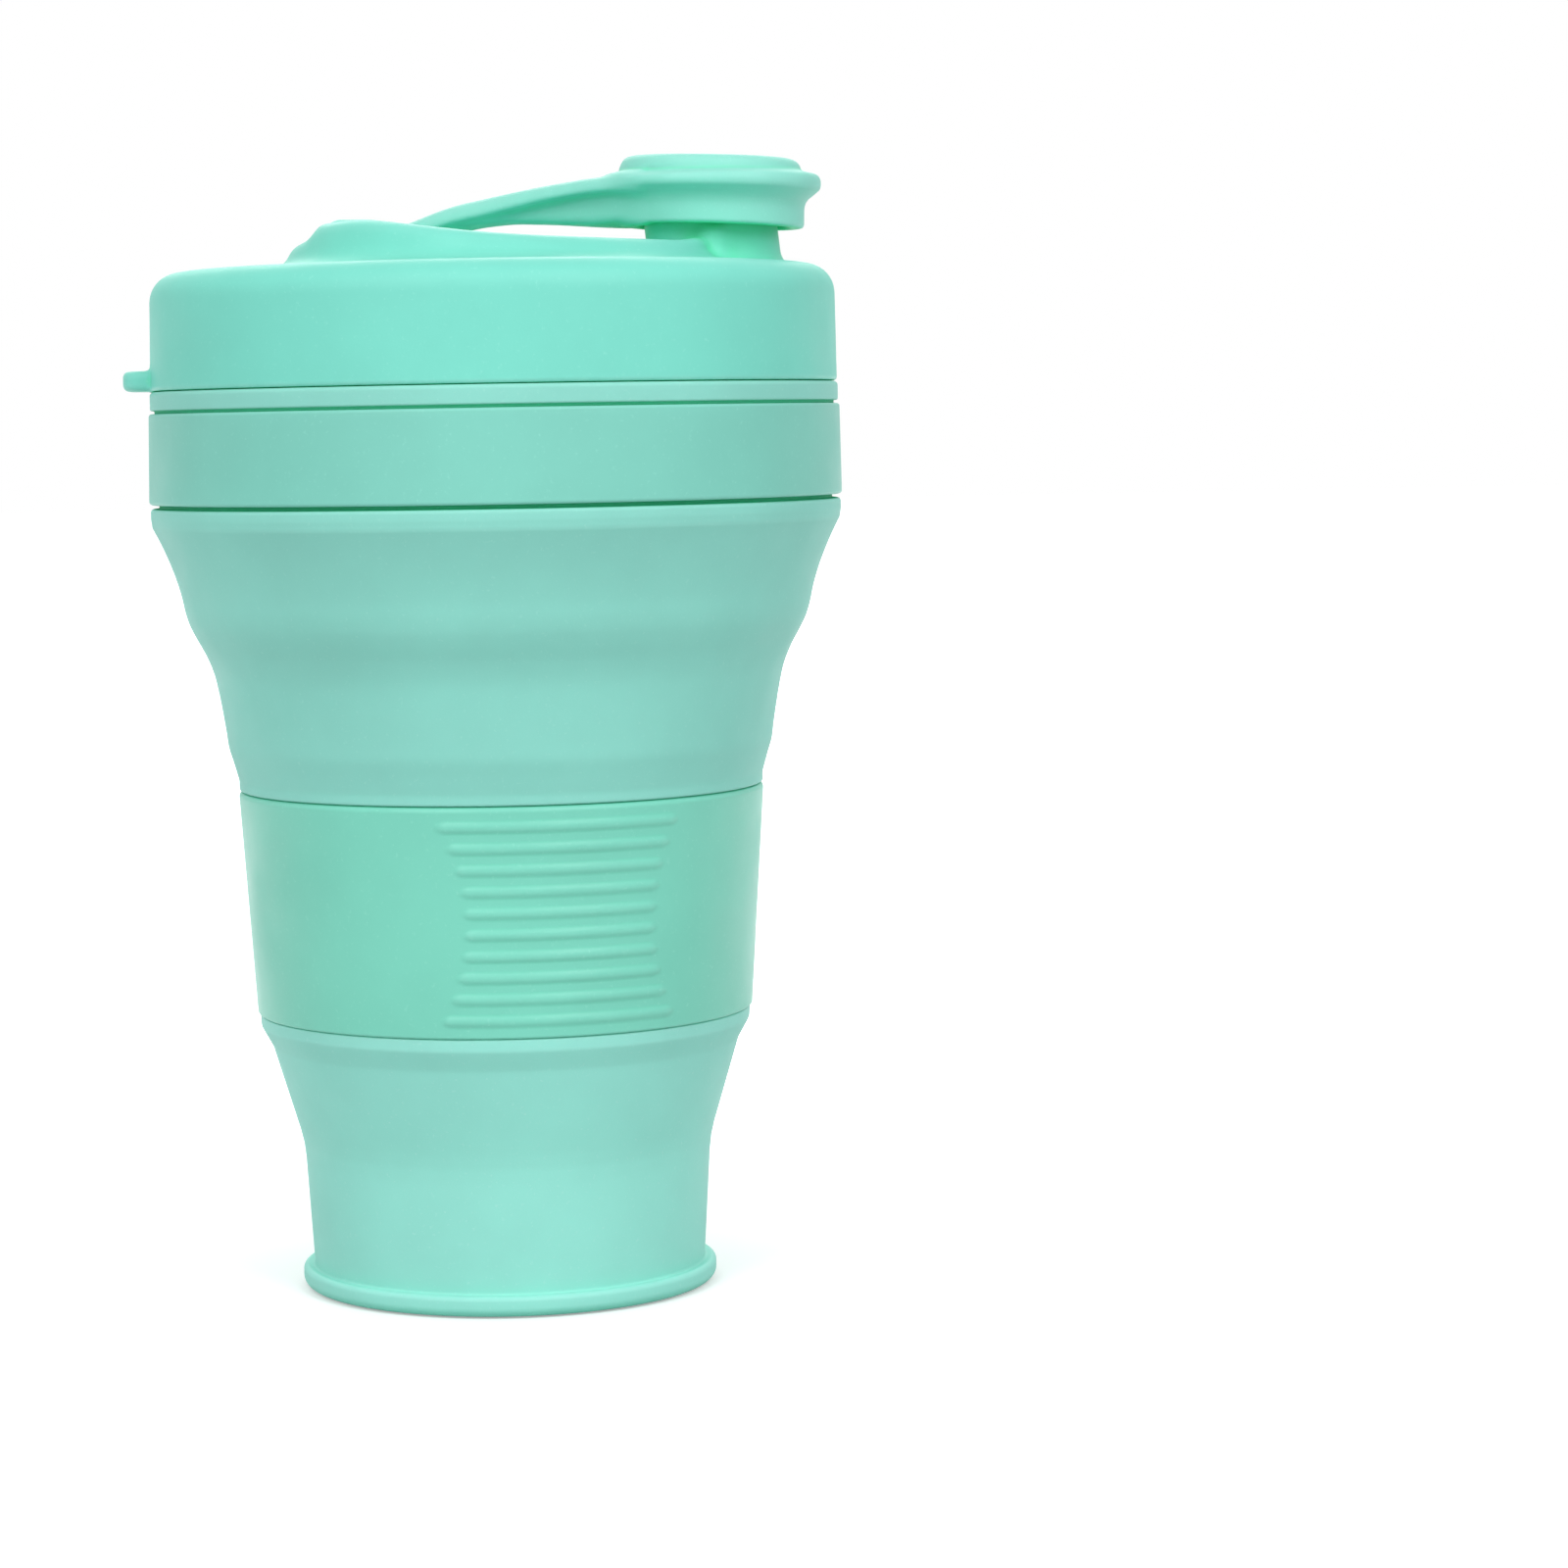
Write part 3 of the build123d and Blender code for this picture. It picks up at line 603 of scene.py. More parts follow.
def turned_field(outline):
    """Distance to a turned form, as a function of radius and height, read from a fine table."""
    points = np.array(outline)
    ends = np.roll(points, -1, axis=0)
    radii = np.arange(0, points[:, 0].max() + TABLE_MARGIN, TABLE_CELL)
    bottom = points[:, 1].min() - TABLE_MARGIN
    heights = np.arange(bottom, points[:, 1].max() + TABLE_MARGIN, TABLE_CELL)
    r, z = np.meshgrid(radii, heights, indexing="ij")
    nearest = np.full(r.shape, np.inf)
    inside = np.zeros(r.shape, bool)
    for (r0, z0), (r1, z1) in zip(points, ends):
        dr, dz = r1 - r0, z1 - z0
        share = np.clip(((r - r0) * dr + (z - z0) * dz) / max(dr * dr + dz * dz, 1e-12), 0, 1)
        # A stretch on the axis is no part of the surface
        if r0 > 0.001 or r1 > 0.001:
            square = (r - r0 - share * dr) ** 2 + (z - z0 - share * dz) ** 2
            nearest = np.minimum(nearest, square)
        if z0 != z1:
            crossed = (z0 > z) != (z1 > z)
            inside ^= crossed & (r < r0 + (z - z0) * dr / dz)
    table = np.sqrt(nearest) * np.where(inside, -1, 1)

    def field(radius, height):
        u = np.clip(radius / TABLE_CELL, 0, len(radii) - 1.001)
        v = np.clip((height - bottom) / TABLE_CELL, 0, len(heights) - 1.001)
        i, j = u.astype(int), v.astype(int)
        u, v = u - i, v - j
        lower = table[i, j] * (1 - u) + table[i + 1, j] * u
        upper = table[i, j + 1] * (1 - u) + table[i + 1, j + 1] * u
        return lower * (1 - v) + upper * v
    return field


def netted(name, field, radii, steps, heights, centre=(0.0, 0.0)):
    """Mesh of a form's surface, found on a grid of radius, angle and height round a centre."""
    angle = angles(steps)
    shape = (len(radii), steps, len(heights))
    values = np.empty(shape)
    across = np.broadcast_to(np.cos(angle)[:, None], shape[1:])
    beside = np.broadcast_to(np.sin(angle)[:, None], shape[1:])
    level = np.broadcast_to(heights, shape[1:])
    for index, radius in enumerate(radii):
        values[index] = field(centre[0] + radius * across, centre[1] + radius * beside, level)
    inside = values < 0
    around = np.concatenate([inside, inside[:, :1]], axis=1)
    corner_sets = [
        around[i:shape[0] - 1 + i, j:steps + j, k:shape[2] - 1 + k]
        for i in (0, 1) for j in (0, 1) for k in (0, 1)
    ]
    count = sum(c.astype(np.int8) for c in corner_sets)
    cells = np.argwhere((count > 0) & (count < 8))
    number = np.full(count.shape, -1)
    number[tuple(cells.T)] = np.arange(len(cells))
    place, turn, level = cell_points(values, cells, steps).T
    radius = np.interp(place, np.arange(len(radii)), radii)
    turn = turn * 2 * math.pi / steps
    height = np.interp(level, np.arange(len(heights)), heights)
    x, y = centre[0] + radius * np.cos(turn), centre[1] + radius * np.sin(turn)
    points = settled(field, np.stack([x, y, height], -1))
    return finished(name, points, net_quads(inside, number, steps))


def cell_points(values, cells, steps):
    """Middle of the places where the surface crosses each cell's edges, in grid steps."""
    i, j, k = cells.T
    corner = {
        (a, b, c): values[i + a, (j + b) % steps, k + c]
        for a in (0, 1) for b in (0, 1) for c in (0, 1)
    }
    total = np.zeros((len(cells), 3))
    found = np.zeros(len(cells))
    for start in corner:
        for axis in range(3):
            if start[axis]:
                continue
            end = tuple(1 if n == axis else s for n, s in enumerate(start))
            a, b = corner[start], corner[end]
            crossed = (a < 0) != (b < 0)
            place = np.tile(np.array(start, float), (len(cells), 1))
            place[:, axis] = np.where(crossed, a / np.where(crossed, a - b, 1), 0)
            total += place * crossed[:, None]
            found += crossed
    return cells + total / found[:, None]


def net_quads(inside, number, steps):
    """One quad for each grid edge that the surface crosses, between the four cells round it."""
    def cell(i, j, k):
        return number[i, j % steps, k]

    quads = []
    # Edges along the radius
    i, j, k = np.nonzero(inside[1:, :, 1:-1] != inside[:-1, :, 1:-1])
    k = k + 1
    quads.append((cell(i, j - 1, k - 1), cell(i, j, k - 1), cell(i, j, k), cell(i, j - 1, k)))
    # Edges round the centre
    i, j, k = np.nonzero((np.roll(inside, -1, axis=1) != inside)[1:-1, :, 1:-1])
    i, k = i + 1, k + 1
    quads.append((cell(i - 1, j, k - 1), cell(i, j, k - 1), cell(i, j, k), cell(i - 1, j, k)))
    # Upright edges
    i, j, k = np.nonzero(inside[1:-1, :, 1:] != inside[1:-1, :, :-1])
    i = i + 1
    quads.append((cell(i - 1, j - 1, k), cell(i, j - 1, k), cell(i, j, k), cell(i - 1, j, k)))
    quads = np.concatenate([np.stack(corners, -1) for corners in quads])
    return quads[(quads >= 0).all(axis=1)]


def settled(field, points):
    """Points moved along the field's slope until they lie on its surface."""
    for _ in range(SETTLE_ROUNDS):
        value = field(*points.T)
        slope = np.empty_like(points)
        for axis in range(3):
            ahead, behind = points.copy(), points.copy()
            ahead[:, axis] += SETTLE_PROBE
            behind[:, axis] -= SETTLE_PROBE
            slope[:, axis] = (field(*ahead.T) - field(*behind.T)) / (2 * SETTLE_PROBE)
        size = np.maximum((slope**2).sum(axis=1), SETTLE_LEAST_SLOPE)
        step = np.clip(value / size, -SETTLE_LIMIT, SETTLE_LIMIT)
        points = points - slope * step[:, None]
    return points


def steps_between(*runs):
    """Grid places from (start, end, step) runs, one after the other."""
    places = []
    for start, end, step in runs:
        count = max(1, round((end - start) / step))
        places += list(np.linspace(start, end, count, endpoint=False))
    return np.array(places + [runs[-1][1]])


# ---------------------------------------------------------------- silicone cup

# Outlines are lists of (radius, height, rounding) corners
GRIP_SPLIT = 52.0
GRIP_WALL = 1.8
SLEEVE_WALL = 1.6
SLEEVE_CLEARANCE = 0.15
LIP_GAP = 0.03
CUP_FLOOR = 3.2
FOOT_HOLLOW = 1.0
CUP_STEP = 0.6
inner_low = sleeve_low_radius - SLEEVE_WALL - SLEEVE_CLEARANCE - GRIP_WALL
inner_high = sleeve_top_radius - SLEEVE_WALL - SLEEVE_CLEARANCE - GRIP_WALL
SEAM_GAP = 0.55
SEAM_DEPTH = 1.2
RIM_SEAM_GAP = 0.4
RIM_SEAM_DEPTH = 0.8
# Wall of the upper fold: at its foot, and how much thicker it is at its top
FOLD_WALL = 1.15
FOLD_GAIN = 0.7


def grip_inner(height):
    """Radius of the cup's inside within the grip section."""
    share = (height - sleeve_bottom) / (sleeve_top - sleeve_bottom)
    return inner_low + (inner_high - inner_low) * share


def cup_lower():
    """Foot, base cup, lower fold wall and the lower half of the wall inside the sleeve."""
    lip_top = sleeve_bottom - LIP_GAP
    outline = rounded([
        (0, FOOT_HOLLOW, 0),
        (24.5, FOOT_HOLLOW, 0.4),
        (25.0, 0, 0.5),
        (foot_radius, 0, 1.4),
        (foot_radius, 2.95, 0.7),
        (27.0, 2.75, 0.35),
        (base_radius - 0.1, base_top - 0.5, 18.0),
        (lower_fold_radius, grip_bottom - 0.3, 2.5),
        (lip_low_radius - 0.1, grip_bottom + 2.5, 1.3),
        (lip_low_radius, lip_top, 0.3),
        (inner_low + GRIP_WALL, lip_top, 0),
        (grip_inner(GRIP_SPLIT) + GRIP_WALL, GRIP_SPLIT, 0),
        (grip_inner(GRIP_SPLIT), GRIP_SPLIT, 0),
        (inner_low, sleeve_bottom, 1.5),
        (lower_fold_radius - 1.4, grip_bottom - 0.3, 1.0),
        (26.6, base_top + 0.3, 3.0),
        (24.9, CUP_FLOOR, 4.0),
        (0, CUP_FLOOR, 0),
    ])
    piece = turned("cup_lower", divided(outline, CUP_STEP))
    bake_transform(piece)
    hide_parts("cup_base", "cup_lower_fold")
    return piece


# Radius and rise above the grip section of the scalloped wall's outside
SCALLOPS = [
    (36.10, 0.0), (36.80, 2.5), (37.42, 4.6), (37.70, 6.6), (38.12, 9.3), (38.60, 12.0),
    (39.25, 14.8), (40.30, 17.4), (41.70, 20.0), (42.42, 21.5), (42.90, 23.0), (43.48, 25.6),
    (44.30, 28.3), (45.35, 31.0), (46.55, 33.6), (47.22, 34.9),
]
SCALLOP_STEP = 0.4


def cup_upper():
    """Upper half of the wall inside the sleeve, scalloped fold wall, shoulder, neck and rim lip."""
    lip_foot = sleeve_top + LIP_GAP
    lip = rounded([
        (0, lip_foot, 0),
        (inner_high + GRIP_WALL, lip_foot, 0),
        (lip_top_radius, lip_foot, 0.35),
        (lip_top_radius, grip_top, 0),
        (0, grip_top, 0),
    ])[1:-2]
    wall = curve([(radius, grip_top + rise) for radius, rise in SCALLOPS], SCALLOP_STEP)
    seat = collar_top_radius - SEAM_DEPTH
    rim_seat = collar_top_radius - RIM_SEAM_DEPTH
    above = rounded([
        (46.5, grip_top + 33.6, 0),
        (shoulder_radius, collar_bottom - SEAM_GAP - 1.6, 1.6),
        (shoulder_radius, collar_bottom - SEAM_GAP, 0.5),
        (seat, collar_bottom - SEAM_GAP, 0.3),
        (seat, collar_bottom, 0),
        (neck_radius, collar_bottom, 0),
        (neck_radius, collar_top, 0),
        (rim_seat, collar_top, 0),
        (rim_seat, collar_top + RIM_SEAM_GAP, 0.15),
        (rim_radius, collar_top + RIM_SEAM_GAP, 0.3),
        (rim_radius, rim_top, 0.6),
        (neck_bore, rim_top, 0.6),
        (neck_bore, neck_bottom, 2.0),
        (fold_top_radius - 1.9, fold_top - 1.0, 0),
    ])[2:-1]
    below_neck = [(radius, height) for radius, height in wall if height < fold_top - 0.5]
    inside = [np.array([radius - thickness(height), height]) for radius, height in below_neck]
    inner_foot = np.array([grip_inner(GRIP_SPLIT), GRIP_SPLIT])
    outer_foot = inner_foot + (GRIP_WALL, 0)
    inner_top = np.array([inner_high, sleeve_top - 0.8])
    outline = [outer_foot] + lip + wall + above + inside[:0:-1] + [inner_top, inner_foot]
    piece = turned("cup_upper", divided(outline, CUP_STEP))
    # Faces inside the two seam grooves get the second material, a darker painted shade
    for face in piece.data.polygons:
        x, y, z = face.center / MM
        from_seam = abs(z - collar_bottom + SEAM_GAP / 2)
        from_rim_seam = abs(z - collar_top - RIM_SEAM_GAP / 2)
        in_seam = min(from_seam, from_rim_seam) < SEAM_GAP / 2 + 0.05
        within = seat - 0.5 < math.hypot(x, y) < rim_radius - 0.25
        face.material_index = int(in_seam and within)
    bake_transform(piece)
    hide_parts("cup_grip_wall", "cup_upper_fold", "cup_neck")
    return piece


def thickness(height):
    """Wall of the upper fold, thin where it bends over the sleeve and thicker at the neck."""
    share = (height - grip_top) / (fold_top - grip_top)
    return FOLD_WALL + FOLD_GAIN * max(0.0, min(1.0, share)) ** 2


# ---------------------------------------------------------------- sleeve and collar

# Ribs lie above one another in two groups. Angles are in degrees.
RIB_COUNT = 10
RIB_PITCH = 2.844
RIB_LOWEST = 2.35
RIB_RISE = 0.28
RIB_HALF_WIDTH = 0.78
RIB_END_ANGLE = 26.8
RIB_WAIST_ANGLE = 21.4
RIB_FADE_ANGLE = 1.9
RIB_FADE = 0.6
RIB_CROWN = 0.9
GRIP_HEADINGS = (-77.0, 103.0)
SLEEVE_TURN_STEPS = 550
SLEEVE_STEP = 0.24
COLLAR_BORE = 44.8


def rib_height(angle, rise):
    """How far the ribs stand out of the sleeve, at an angle and a rise above its foot."""
    total = np.zeros(np.broadcast(angle, rise).shape)
    half = RIB_PITCH * (RIB_COUNT - 1) / 2
    for heading in GRIP_HEADINGS:
        turn = np.abs((angle - heading + 180) % 360 - 180)
        for index in range(RIB_COUNT):
            place = RIB_LOWEST + RIB_PITCH * index
            share = (place - RIB_LOWEST - half) / half
            limit = RIB_WAIST_ANGLE + (RIB_END_ANGLE - RIB_WAIST_ANGLE) * share**2
            past = np.radians(np.maximum(turn - limit + RIB_FADE_ANGLE, 0)) * sleeve_low_radius
            away = np.hypot(rise - place, past * RIB_FADE)
            total = np.maximum(total, 1 - (away / RIB_HALF_WIDTH) ** 2)
    return RIB_RISE * np.clip(total, 0, 1) ** RIB_CROWN


def grip_sleeve():
    """Conical sleeve with soft raised ribs."""
    rises = np.arange(0.5, sleeve_top - sleeve_bottom - 0.9, SLEEVE_STEP)
    taper = (sleeve_top_radius - sleeve_low_radius) / (sleeve_top - sleeve_bottom)
    face = [np.array([sleeve_low_radius + taper * rise, sleeve_bottom + rise]) for rise in rises]
    rest = rounded([
        (sleeve_top_radius - 0.07, sleeve_top - 1.0, 0),
        (sleeve_top_radius, sleeve_top, 0.8),
        (sleeve_top_radius - SLEEVE_WALL, sleeve_top, 0.3),
        (sleeve_low_radius - SLEEVE_WALL, sleeve_bottom, 0.3),
        (sleeve_low_radius, sleeve_bottom, 0.35),
        (sleeve_low_radius + 0.03, sleeve_bottom + 0.4, 0),
    ])[1:-1]
    outline = face + divided(rest, 2.0, closed=False)
    ribs = np.zeros((SLEEVE_TURN_STEPS, len(outline)))
    turn = np.degrees(angles(SLEEVE_TURN_STEPS))
    ribs[:, :len(face)] = rib_height(turn[:, None], rises[None, :])
    piece = turned("sleeve", outline, SLEEVE_TURN_STEPS, ribs)
    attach(piece, "grip")
    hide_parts("grip_sleeve")
    return piece


def collar_ring():
    """Hard ring round the neck, with softened edges."""
    outline = rounded([
        (collar_low_radius - 0.02, collar_bottom, 0.45),
        (collar_top_radius, collar_top, 0.45),
        (COLLAR_BORE, collar_top, 0.3),
        (COLLAR_BORE, collar_bottom, 0.3),
    ])
    piece = turned("collar_ring", divided(outline, 1.0))
    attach(piece, "neck")
    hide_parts("collar")
    return piece


def seal_ring():
    """Seal in the groove of the lid's plug wall, with a soft crown."""
    bottom, top = low("lid_seal"), high("lid_seal")
    outline = rounded([
        (groove_radius, bottom, 0.1),
        (seal_radius, bottom, 0.8),
        (seal_radius, top, 0.8),
        (groove_radius, top, 0.1),
    ])
    piece = turned("seal_ring", divided(outline, 0.8))
    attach(piece, "lid")
    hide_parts("lid_seal")
    return piece


# ---------------------------------------------------------------- lid

RIDGE_WALL = 6.4
# The ridge's outer wall leans in by this much from the lid's ceiling to the crest
RIDGE_LEAN = 3.2
# Its inner wall leans out by this much over this height
WELL_LEAN, WELL_DEPTH = 0.8, 7.7
BLOCK_HALF_WIDTH = 7.5
BLOCK_INSET = 0.9
WEB_RADIUS = 1.3
TAB_REACH = 3.6
TAB_HALF_WIDTH = 7.0
TAB_THICKNESS = 2.8
SLOT_HALF_DEPTH = 2.8
SLOT_ROOM_ABOVE = 0.22
SLOT_ROOM_ASIDE = 0.25
LID_TURN_STEPS = 288


def lid_outline():
    """Turned part of the lid."""
    groove_low = low("lid_seal")
    groove_high = high("lid_seal")
    return rounded([
        (lid_low_radius, lid_bottom, 0.4),
        (lid_top_radius + 0.12, lid_top - 0.75, 4.0),
        (RIDGE_HALF_LENGTH, lid_top - 0.1, 6.0),
        (0, lid_top - 0.1, 0),
        (0, lid_ceiling, 0),
        (plug_bore, lid_ceiling, 2.0),
        (plug_bore, plug_bottom, 0.5),
        (plug_radius, plug_bottom, 0.6),
        (plug_radius, groove_low, 0),
        (groove_radius, groove_low, 0),
        (groove_radius, groove_high, 0),
        (plug_radius, groove_high, 0),
        (plug_radius, lid_top - 5.5, 1.0),
        (lid_top_radius - 2.0, lid_top - 5.5, 1.0),
        (lid_low_radius - 2.0, lid_bottom, 0.3),
    ])


def oval(x, y, inset):
    """Distance to the ridge's oval, taken in by an inset, negative inside."""
    across = x - RIDGE_X
    a = RIDGE_HALF_LENGTH + RIDGE_EXTRA * (across > 0) - inset
    b = RIDGE_HALF_WIDTH - inset
    size = np.sqrt((across / a) ** 2 + (y / b) ** 2) + 1e-9
    slope = np.sqrt((across / a**2) ** 2 + (y / b**2) ** 2) / size + 1e-9
    return (size - 1) / slope


def crest_height(x):
    """Height of the ridge's crest: low at its far end, high by the strap, lower to the spout."""
    return ridge_crest + hermite(x, [
        (-28.5, -2.9, 0.2), (-25.0, -2.4, 0.35), (-23.0, -0.7, 0.55), (-21.0, -0.4, 0.06),
        (-17.0, -0.45, -0.08), (-12.0, -1.15, -0.15), (-3.0, -2.45, -0.12), (6.0, -3.2, -0.05),
        (15.0, -3.5, -0.02), (24.0, -3.5, 0.03), (30.0, -1.9, 0.45),
    ])


def along_strap(x, y):
    """Distance from the spout's axis towards the anchor, and distance to the side of that line."""
    forward = (x - SPOUT_X) * STRAP_ALONG[0] + y * STRAP_ALONG[1]
    aside = -(x - SPOUT_X) * STRAP_ALONG[1] + y * STRAP_ALONG[0]
    return forward, aside


def lid_form():
    """Field of the whole lid."""
    body_field = turned_field(lid_outline())
    lean = RIDGE_LEAN / (ridge_crest - lid_ceiling)
    upright = 1 / math.hypot(1, lean)

    def field(x, y, z):
        body = body_field(np.hypot(x, y), z)
        above = lid_ceiling + 1 - z
        # Ridge, and the well inside it
        outer = oval(x, y, (z - lid_ceiling) * lean) * upright
        inner = oval(x, y, RIDGE_WALL - WELL_LEAN * (z - well_floor) / WELL_DEPTH)
        well = common(inner, well_floor - z, 1.6)
        body = common(body, -well, 1.2)
        crest = z - crest_height(x)
        ridge = common(common(common(outer, crest, 1.7), -inner, 1.7), above, 0.5)
        # Block that anchors the strap
        forward, aside = along_strap(x, y)
        block = common(BLOCK_REACH - forward, np.abs(aside) - BLOCK_HALF_WIDTH, 2.6)
        block = common(block, z - block_top, 1.6)
        block = common(block, outer + BLOCK_INSET, 2.0)
        block = common(block, above, 0.5)
        # Spout, with a web in front of it
        lean_in = SPOUT_LEAN * np.clip((z - lid_top) / 5, 0, 1)
        spout = np.hypot(x - SPOUT_X - 0.1 + lean_in, y) - SPOUT_RADIUS
        spout = common(common(spout, z - spout_top, 1.2), above, 0.5)
        web = np.hypot(x - SPOUT_X + 0.2, y + SPOUT_RADIUS - 0.9) - WEB_RADIUS
        web = common(common(web, z - skirt_bottom + 0.4, 1.0), above, 0.5)
        shell = join(join(body, ridge, 2.0), block, 2.6)
        shell = join(shell, spout, 1.8)
        shell = join(shell, web, 1.7)
        shell = join(shell, tab_form(x, y, z), 0.8)
        shell = common(shell, -slot_form(forward, aside, z), 0.4)
        return common(shell, SPOUT_BORE - np.hypot(x - SPOUT_X, y), 0.8)
    return field


def tab_form(x, y, z):
    """Finger tab at the lid's lower edge."""
    end = -lid_low_radius - TAB_REACH
    plan = common(end - x, np.abs(y) - TAB_HALF_WIDTH, 4.2)
    plan = common(plan, x + lid_low_radius - 3.0, 0.3)
    thick = common(lid_bottom - z, z - lid_bottom - TAB_THICKNESS, 0.8)
    return common(plan, thick, 1.0)


def slot_form(forward, aside, z):
    """Shallow recess in the anchor block round the strap's end."""
    top, bottom, half = strap_section(BLOCK_REACH)
    middle, thick = (top + bottom) / 2, (top - bottom) / 2
    over = np.abs(z - middle) - thick - SLOT_ROOM_ABOVE
    section = common(over, np.abs(aside) - half - SLOT_ROOM_ASIDE, 0.8)
    return common(section, np.abs(forward - BLOCK_REACH + 1.2) - SLOT_HALF_DEPTH, 0.3)


def lid():
    """Whole lid moulding as one mesh."""
    seal_low, seal_high = low("lid_seal") - 0.6, high("lid_seal") + 0.6
    radii = steps_between((0.5, 38.0, 0.60), (38.0, 48.0, 0.44), (48.0, 53.2, 0.6))
    heights = steps_between(
        (plug_bottom - 0.6, plug_bottom + 1.2, 0.3),
        (plug_bottom + 1.2, seal_low, 1.0),
        (seal_low, seal_high, 0.4),
        (seal_high, lid_bottom - 0.5, 1.2),
        (lid_bottom - 0.5, lid_bottom + 3.2, 0.27),
        (lid_bottom + 3.2, lid_top - 7.5, 1.3),
        (lid_top - 7.5, spout_top + 0.7, 0.44),
    )
    piece = netted("lid", lid_form(), radii, LID_TURN_STEPS, heights)
    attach(piece, "lid")
    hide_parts("lid_shell")
    return piece


# ---------------------------------------------------------------- stopper and strap

# The cap's upper and lower parts tilt, away from a level part below the flange's top
CAP_TILT = 0.042
CAP_DROP = 0.78
TILT_LEVEL = 0.6
TILT_DEPTH = 3.0
BUTTON_SHIFT = 0.4
# The strap narrows quickly to its neck, then slowly to its root
NECK_REACH = 19
NECK_HALF_WIDTH = 8.0
NECK_LOSS = 6.8
ROOT_LOSS, ROOT_RUN = 2.0, 24.2
STRAP_START, STRAP_END = 7.0, 51.0
BAND_THICKNESS = 2.5
KEEL_INSET = 2.3
STOPPER_TURN_STEPS = 330


def strap_top(forward):
    """Height of the strap's upper face."""
    return hermite(forward, [
        (10.0, flange_top - 0.55, -0.02), (16.3, flange_top - 0.86, -0.09),
        (19.7, flange_top - 1.27, -0.11), (29.9, flange_top - 2.72, -0.13),
        (36.0, flange_top - 3.7, -0.21), (43.2, flange_top - 5.85, -0.32),
        (52.0, flange_top - 8.65, -0.33),
    ])


def keel_bottom(forward):
    """Height of the lower face of the strap's keel."""
    return hermite(forward, [
        (11.0, skirt_bottom + 0.1, 0.0), (15.4, skirt_bottom, 0.04),
        (21.2, skirt_bottom + 0.42, 0.10), (27.0, skirt_bottom + 0.95, 0.08),
        (31.0, skirt_bottom + 1.22, 0.0), (36.0, skirt_bottom + 0.85, -0.15),
        (43.2, flange_top - 8.4, -0.33), (52.0, flange_top - 11.3, -0.33),
    ])


def strap_half_width(forward):
    """Half the strap's width at a distance from the spout."""
    first = FLANGE_RADIUS - NECK_LOSS / NECK_REACH * forward
    second = NECK_HALF_WIDTH - ROOT_LOSS / ROOT_RUN * (forward - NECK_REACH)
    return common(first, second, 1.6)


def strap_section(forward):
    """Upper face, lower face and half width of the strap at a distance from the spout."""
    place = np.array([float(forward)])
    return strap_top(place)[0], keel_bottom(place)[0], strap_half_width(place)[0]


def cap_outline():
    """Turned part of the stopper: button, flange, skirt and plug."""
    top = button_top - CAP_DROP
    return rounded([
        (0, top, 0),
        (BUTTON_RADIUS, top, 1.7),
        (BUTTON_RADIUS + 0.2, flange_top - 0.1, 0.5),
        (FLANGE_RADIUS, flange_top - 0.85, 0.95),
        (FLANGE_RADIUS, flange_top - 2.2, 0.75),
        (SKIRT_RADIUS + 0.1, flange_top - 3.8, 2.2),
        (SKIRT_RADIUS, skirt_bottom, 0.55),
        (SKIRT_BORE, skirt_bottom, 0.6),
        (SKIRT_BORE, cap_roof, 0.4),
        (SPOUT_BORE - 0.35, cap_roof, 0.4),
        (SPOUT_BORE - 0.95, stopper_bottom, 1.2),
        (0, stopper_bottom, 0),
    ])


def stopper_form():
    """Field of the stopper and its strap."""
    cap_field = turned_field(cap_outline())

    def field(x, y, z):
        forward, aside = along_strap(x, y)
        near = np.clip(1 - (forward - 12) / 20, 0, 1)
        tilt = CAP_TILT * np.clip(np.abs(z - flange_top + TILT_LEVEL) / TILT_DEPTH, 0, 1)
        level = z + tilt * np.clip(x - SPOUT_X, -30, 30) * near
        shift = BUTTON_SHIFT * np.clip(level - flange_top + TILT_LEVEL, 0, 1)
        cap = cap_field(np.hypot(x - SPOUT_X + shift, y), level)
        top = strap_top(forward)
        width = strap_half_width(forward)
        past = common(STRAP_START - forward, forward - STRAP_END, 0.5)
        band = common(level - top, np.abs(aside) - width, 2.3)
        band = common(band, top - BAND_THICKNESS - level, 0.7)
        keel = common(level - top + 0.4, keel_bottom(forward) - level, 0.9)
        keel = common(keel, np.abs(aside) - width + KEEL_INSET, 1.4)
        keel = common(keel, SKIRT_BORE + 0.7 - np.hypot(x - SPOUT_X, y), 0.4)
        strap = common(join(band, keel, 1.0), past, 0.8)
        return join(cap, strap, 1.5)
    return field


def stopper():
    """Stopper and strap as one soft moulding."""
    radii = steps_between((0.4, 16.0, 0.36), (16.0, 52.0, 0.5))
    heights = steps_between((stopper_bottom - 1.6, button_top + 0.8, 0.33))
    centre = (SPOUT_X, 0.0)
    piece = netted("stopper_strap", stopper_form(), radii, STOPPER_TURN_STEPS, heights, centre)
    near, far = strap_point(BLOCK_REACH - 0.3), strap_point(HINGE_REACH - 4.0)
    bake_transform(piece)
    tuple(near)
    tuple(far)
    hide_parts("stopper", "strap_anchor")
    return piece


def strap_point(forward):
    """Point on the strap's middle line, in metres, near its root's height."""
    x = SPOUT_X + forward * STRAP_ALONG[0]
    y = forward * STRAP_ALONG[1]
    return x * MM, y * MM, (flange_top - 5.5) * MM
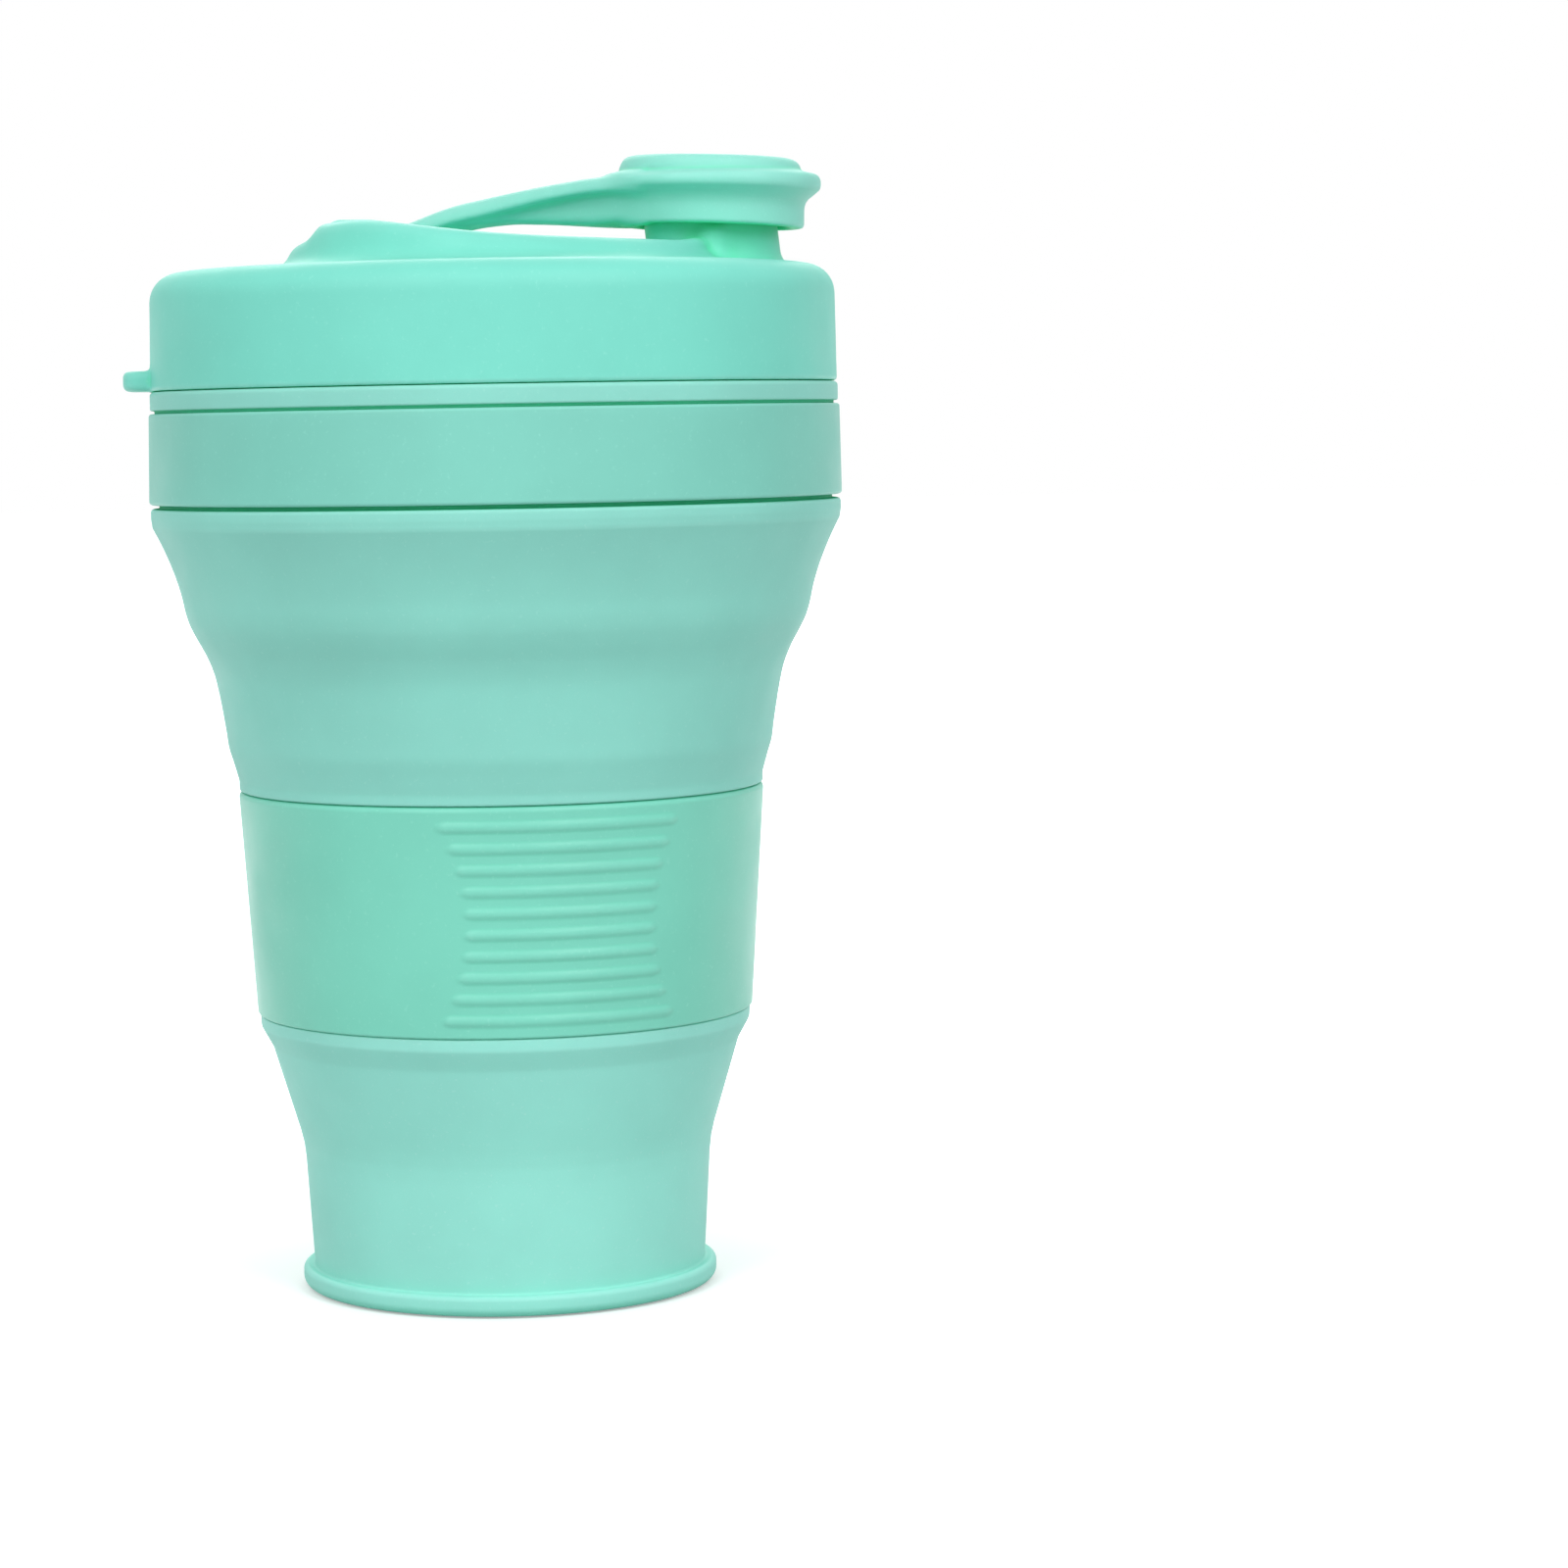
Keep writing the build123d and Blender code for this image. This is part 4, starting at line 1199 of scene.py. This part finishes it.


# ---------------------------------------------------------------- everything together

# In each material below, the second colour is pale wear that is partly a painted highlight, and the
# third is painted shade for hollows and sheltered places
SOFT = {"rough": 0.55, "grain": 0.000012, "grain_size": 0.00030, "wave": 0.00010, "soft": 0.12}
# Two copies of the one cup silicone: a paler one for the foot and base and a darker one for the
# scalloped wall, painted light and painted shade for how each faces the lamps
LIT_CUP_SILICONE = moulded(
    "silicone_mint_lit", (154, 231, 217), (192, 242, 235), (126, 224, 202), **SOFT)
SHADED_WALL_SILICONE = moulded(
    "silicone_wall_mint_shaded", (144, 220, 206), (174, 234, 222), (96, 212, 178), **SOFT)
# Darker, greener copy of the wall silicone for the seam grooves: painted shade
SEAM_SHADE_SILICONE = moulded(
    "seam_painted_shade_mint", (104, 216, 180), (120, 222, 190), (64, 210, 158),
    rough=0.60, grain=0.000010, grain_size=0.00030, gloss=0.15)
SLEEVE_PLASTIC = moulded(
    "sleeve_mint", (123, 213, 191), (160, 233, 216), (78, 206, 168),
    rough=0.42, grain=0.000010, grain_size=0.00026, gloss=0.45)
LID_PLASTIC = moulded(
    "lid_mint", (126, 223, 205), (160, 238, 224), (38, 228, 150),
    rough=0.48, grain=0.000012, grain_size=0.00024, wave=0.00004)
COLLAR_PLASTIC = moulded(
    "collar_mint", (130, 210, 194), (160, 232, 219), (72, 196, 158),
    rough=0.45, grain=0.000010, grain_size=0.00024)
SEAL_SILICONE = moulded(
    "seal_mint", (150, 222, 207), (186, 236, 226), (104, 208, 180),
    rough=0.50, grain=0.000010, grain_size=0.00026, soft=0.1)
STOPPER_SILICONE = moulded(
    "stopper_mint", (145, 224, 208), (176, 242, 231), (46, 232, 162),
    rough=0.52, grain=0.000012, grain_size=0.00028, wave=0.00006, soft=0.12)


def dressed(piece, slot, *materials):
    """Gives a piece its materials, keeping each face's choice of material; slot is not used."""
    choice = [face.material_index for face in piece.data.polygons]
    piece.data.materials.clear()
    for material in materials:
        piece.data.materials.append(material)
    piece.data.polygons.foreach_set("material_index", choice)


add_camera()
add_floor()
backdrop_world()
for name, side in (("key_left", -1), ("key_right", 1)):
    area_light(name, (side * 1.25, -2.00, 1.92), 1.0, 2.0, KEY_WATTS)
area_light("back_fill", (0, 2.50, 1.70), 2.2, 1.4, FILL_WATTS)

dressed(cup_lower(), "cup_silicone", LIT_CUP_SILICONE)
dressed(cup_upper(), "cup_silicone", SHADED_WALL_SILICONE, SEAM_SHADE_SILICONE)
dressed(grip_sleeve(), "sleeve_plastic", SLEEVE_PLASTIC)
dressed(collar_ring(), "collar_plastic", COLLAR_PLASTIC)
dressed(seal_ring(), "seal_silicone", SEAL_SILICONE)
dressed(lid(), "lid_plastic", LID_PLASTIC)
dressed(stopper(), "stopper_silicone", STOPPER_SILICONE)

bpy.context.scene.view_settings.view_transform = "Standard"
bpy.context.view_layer.update()
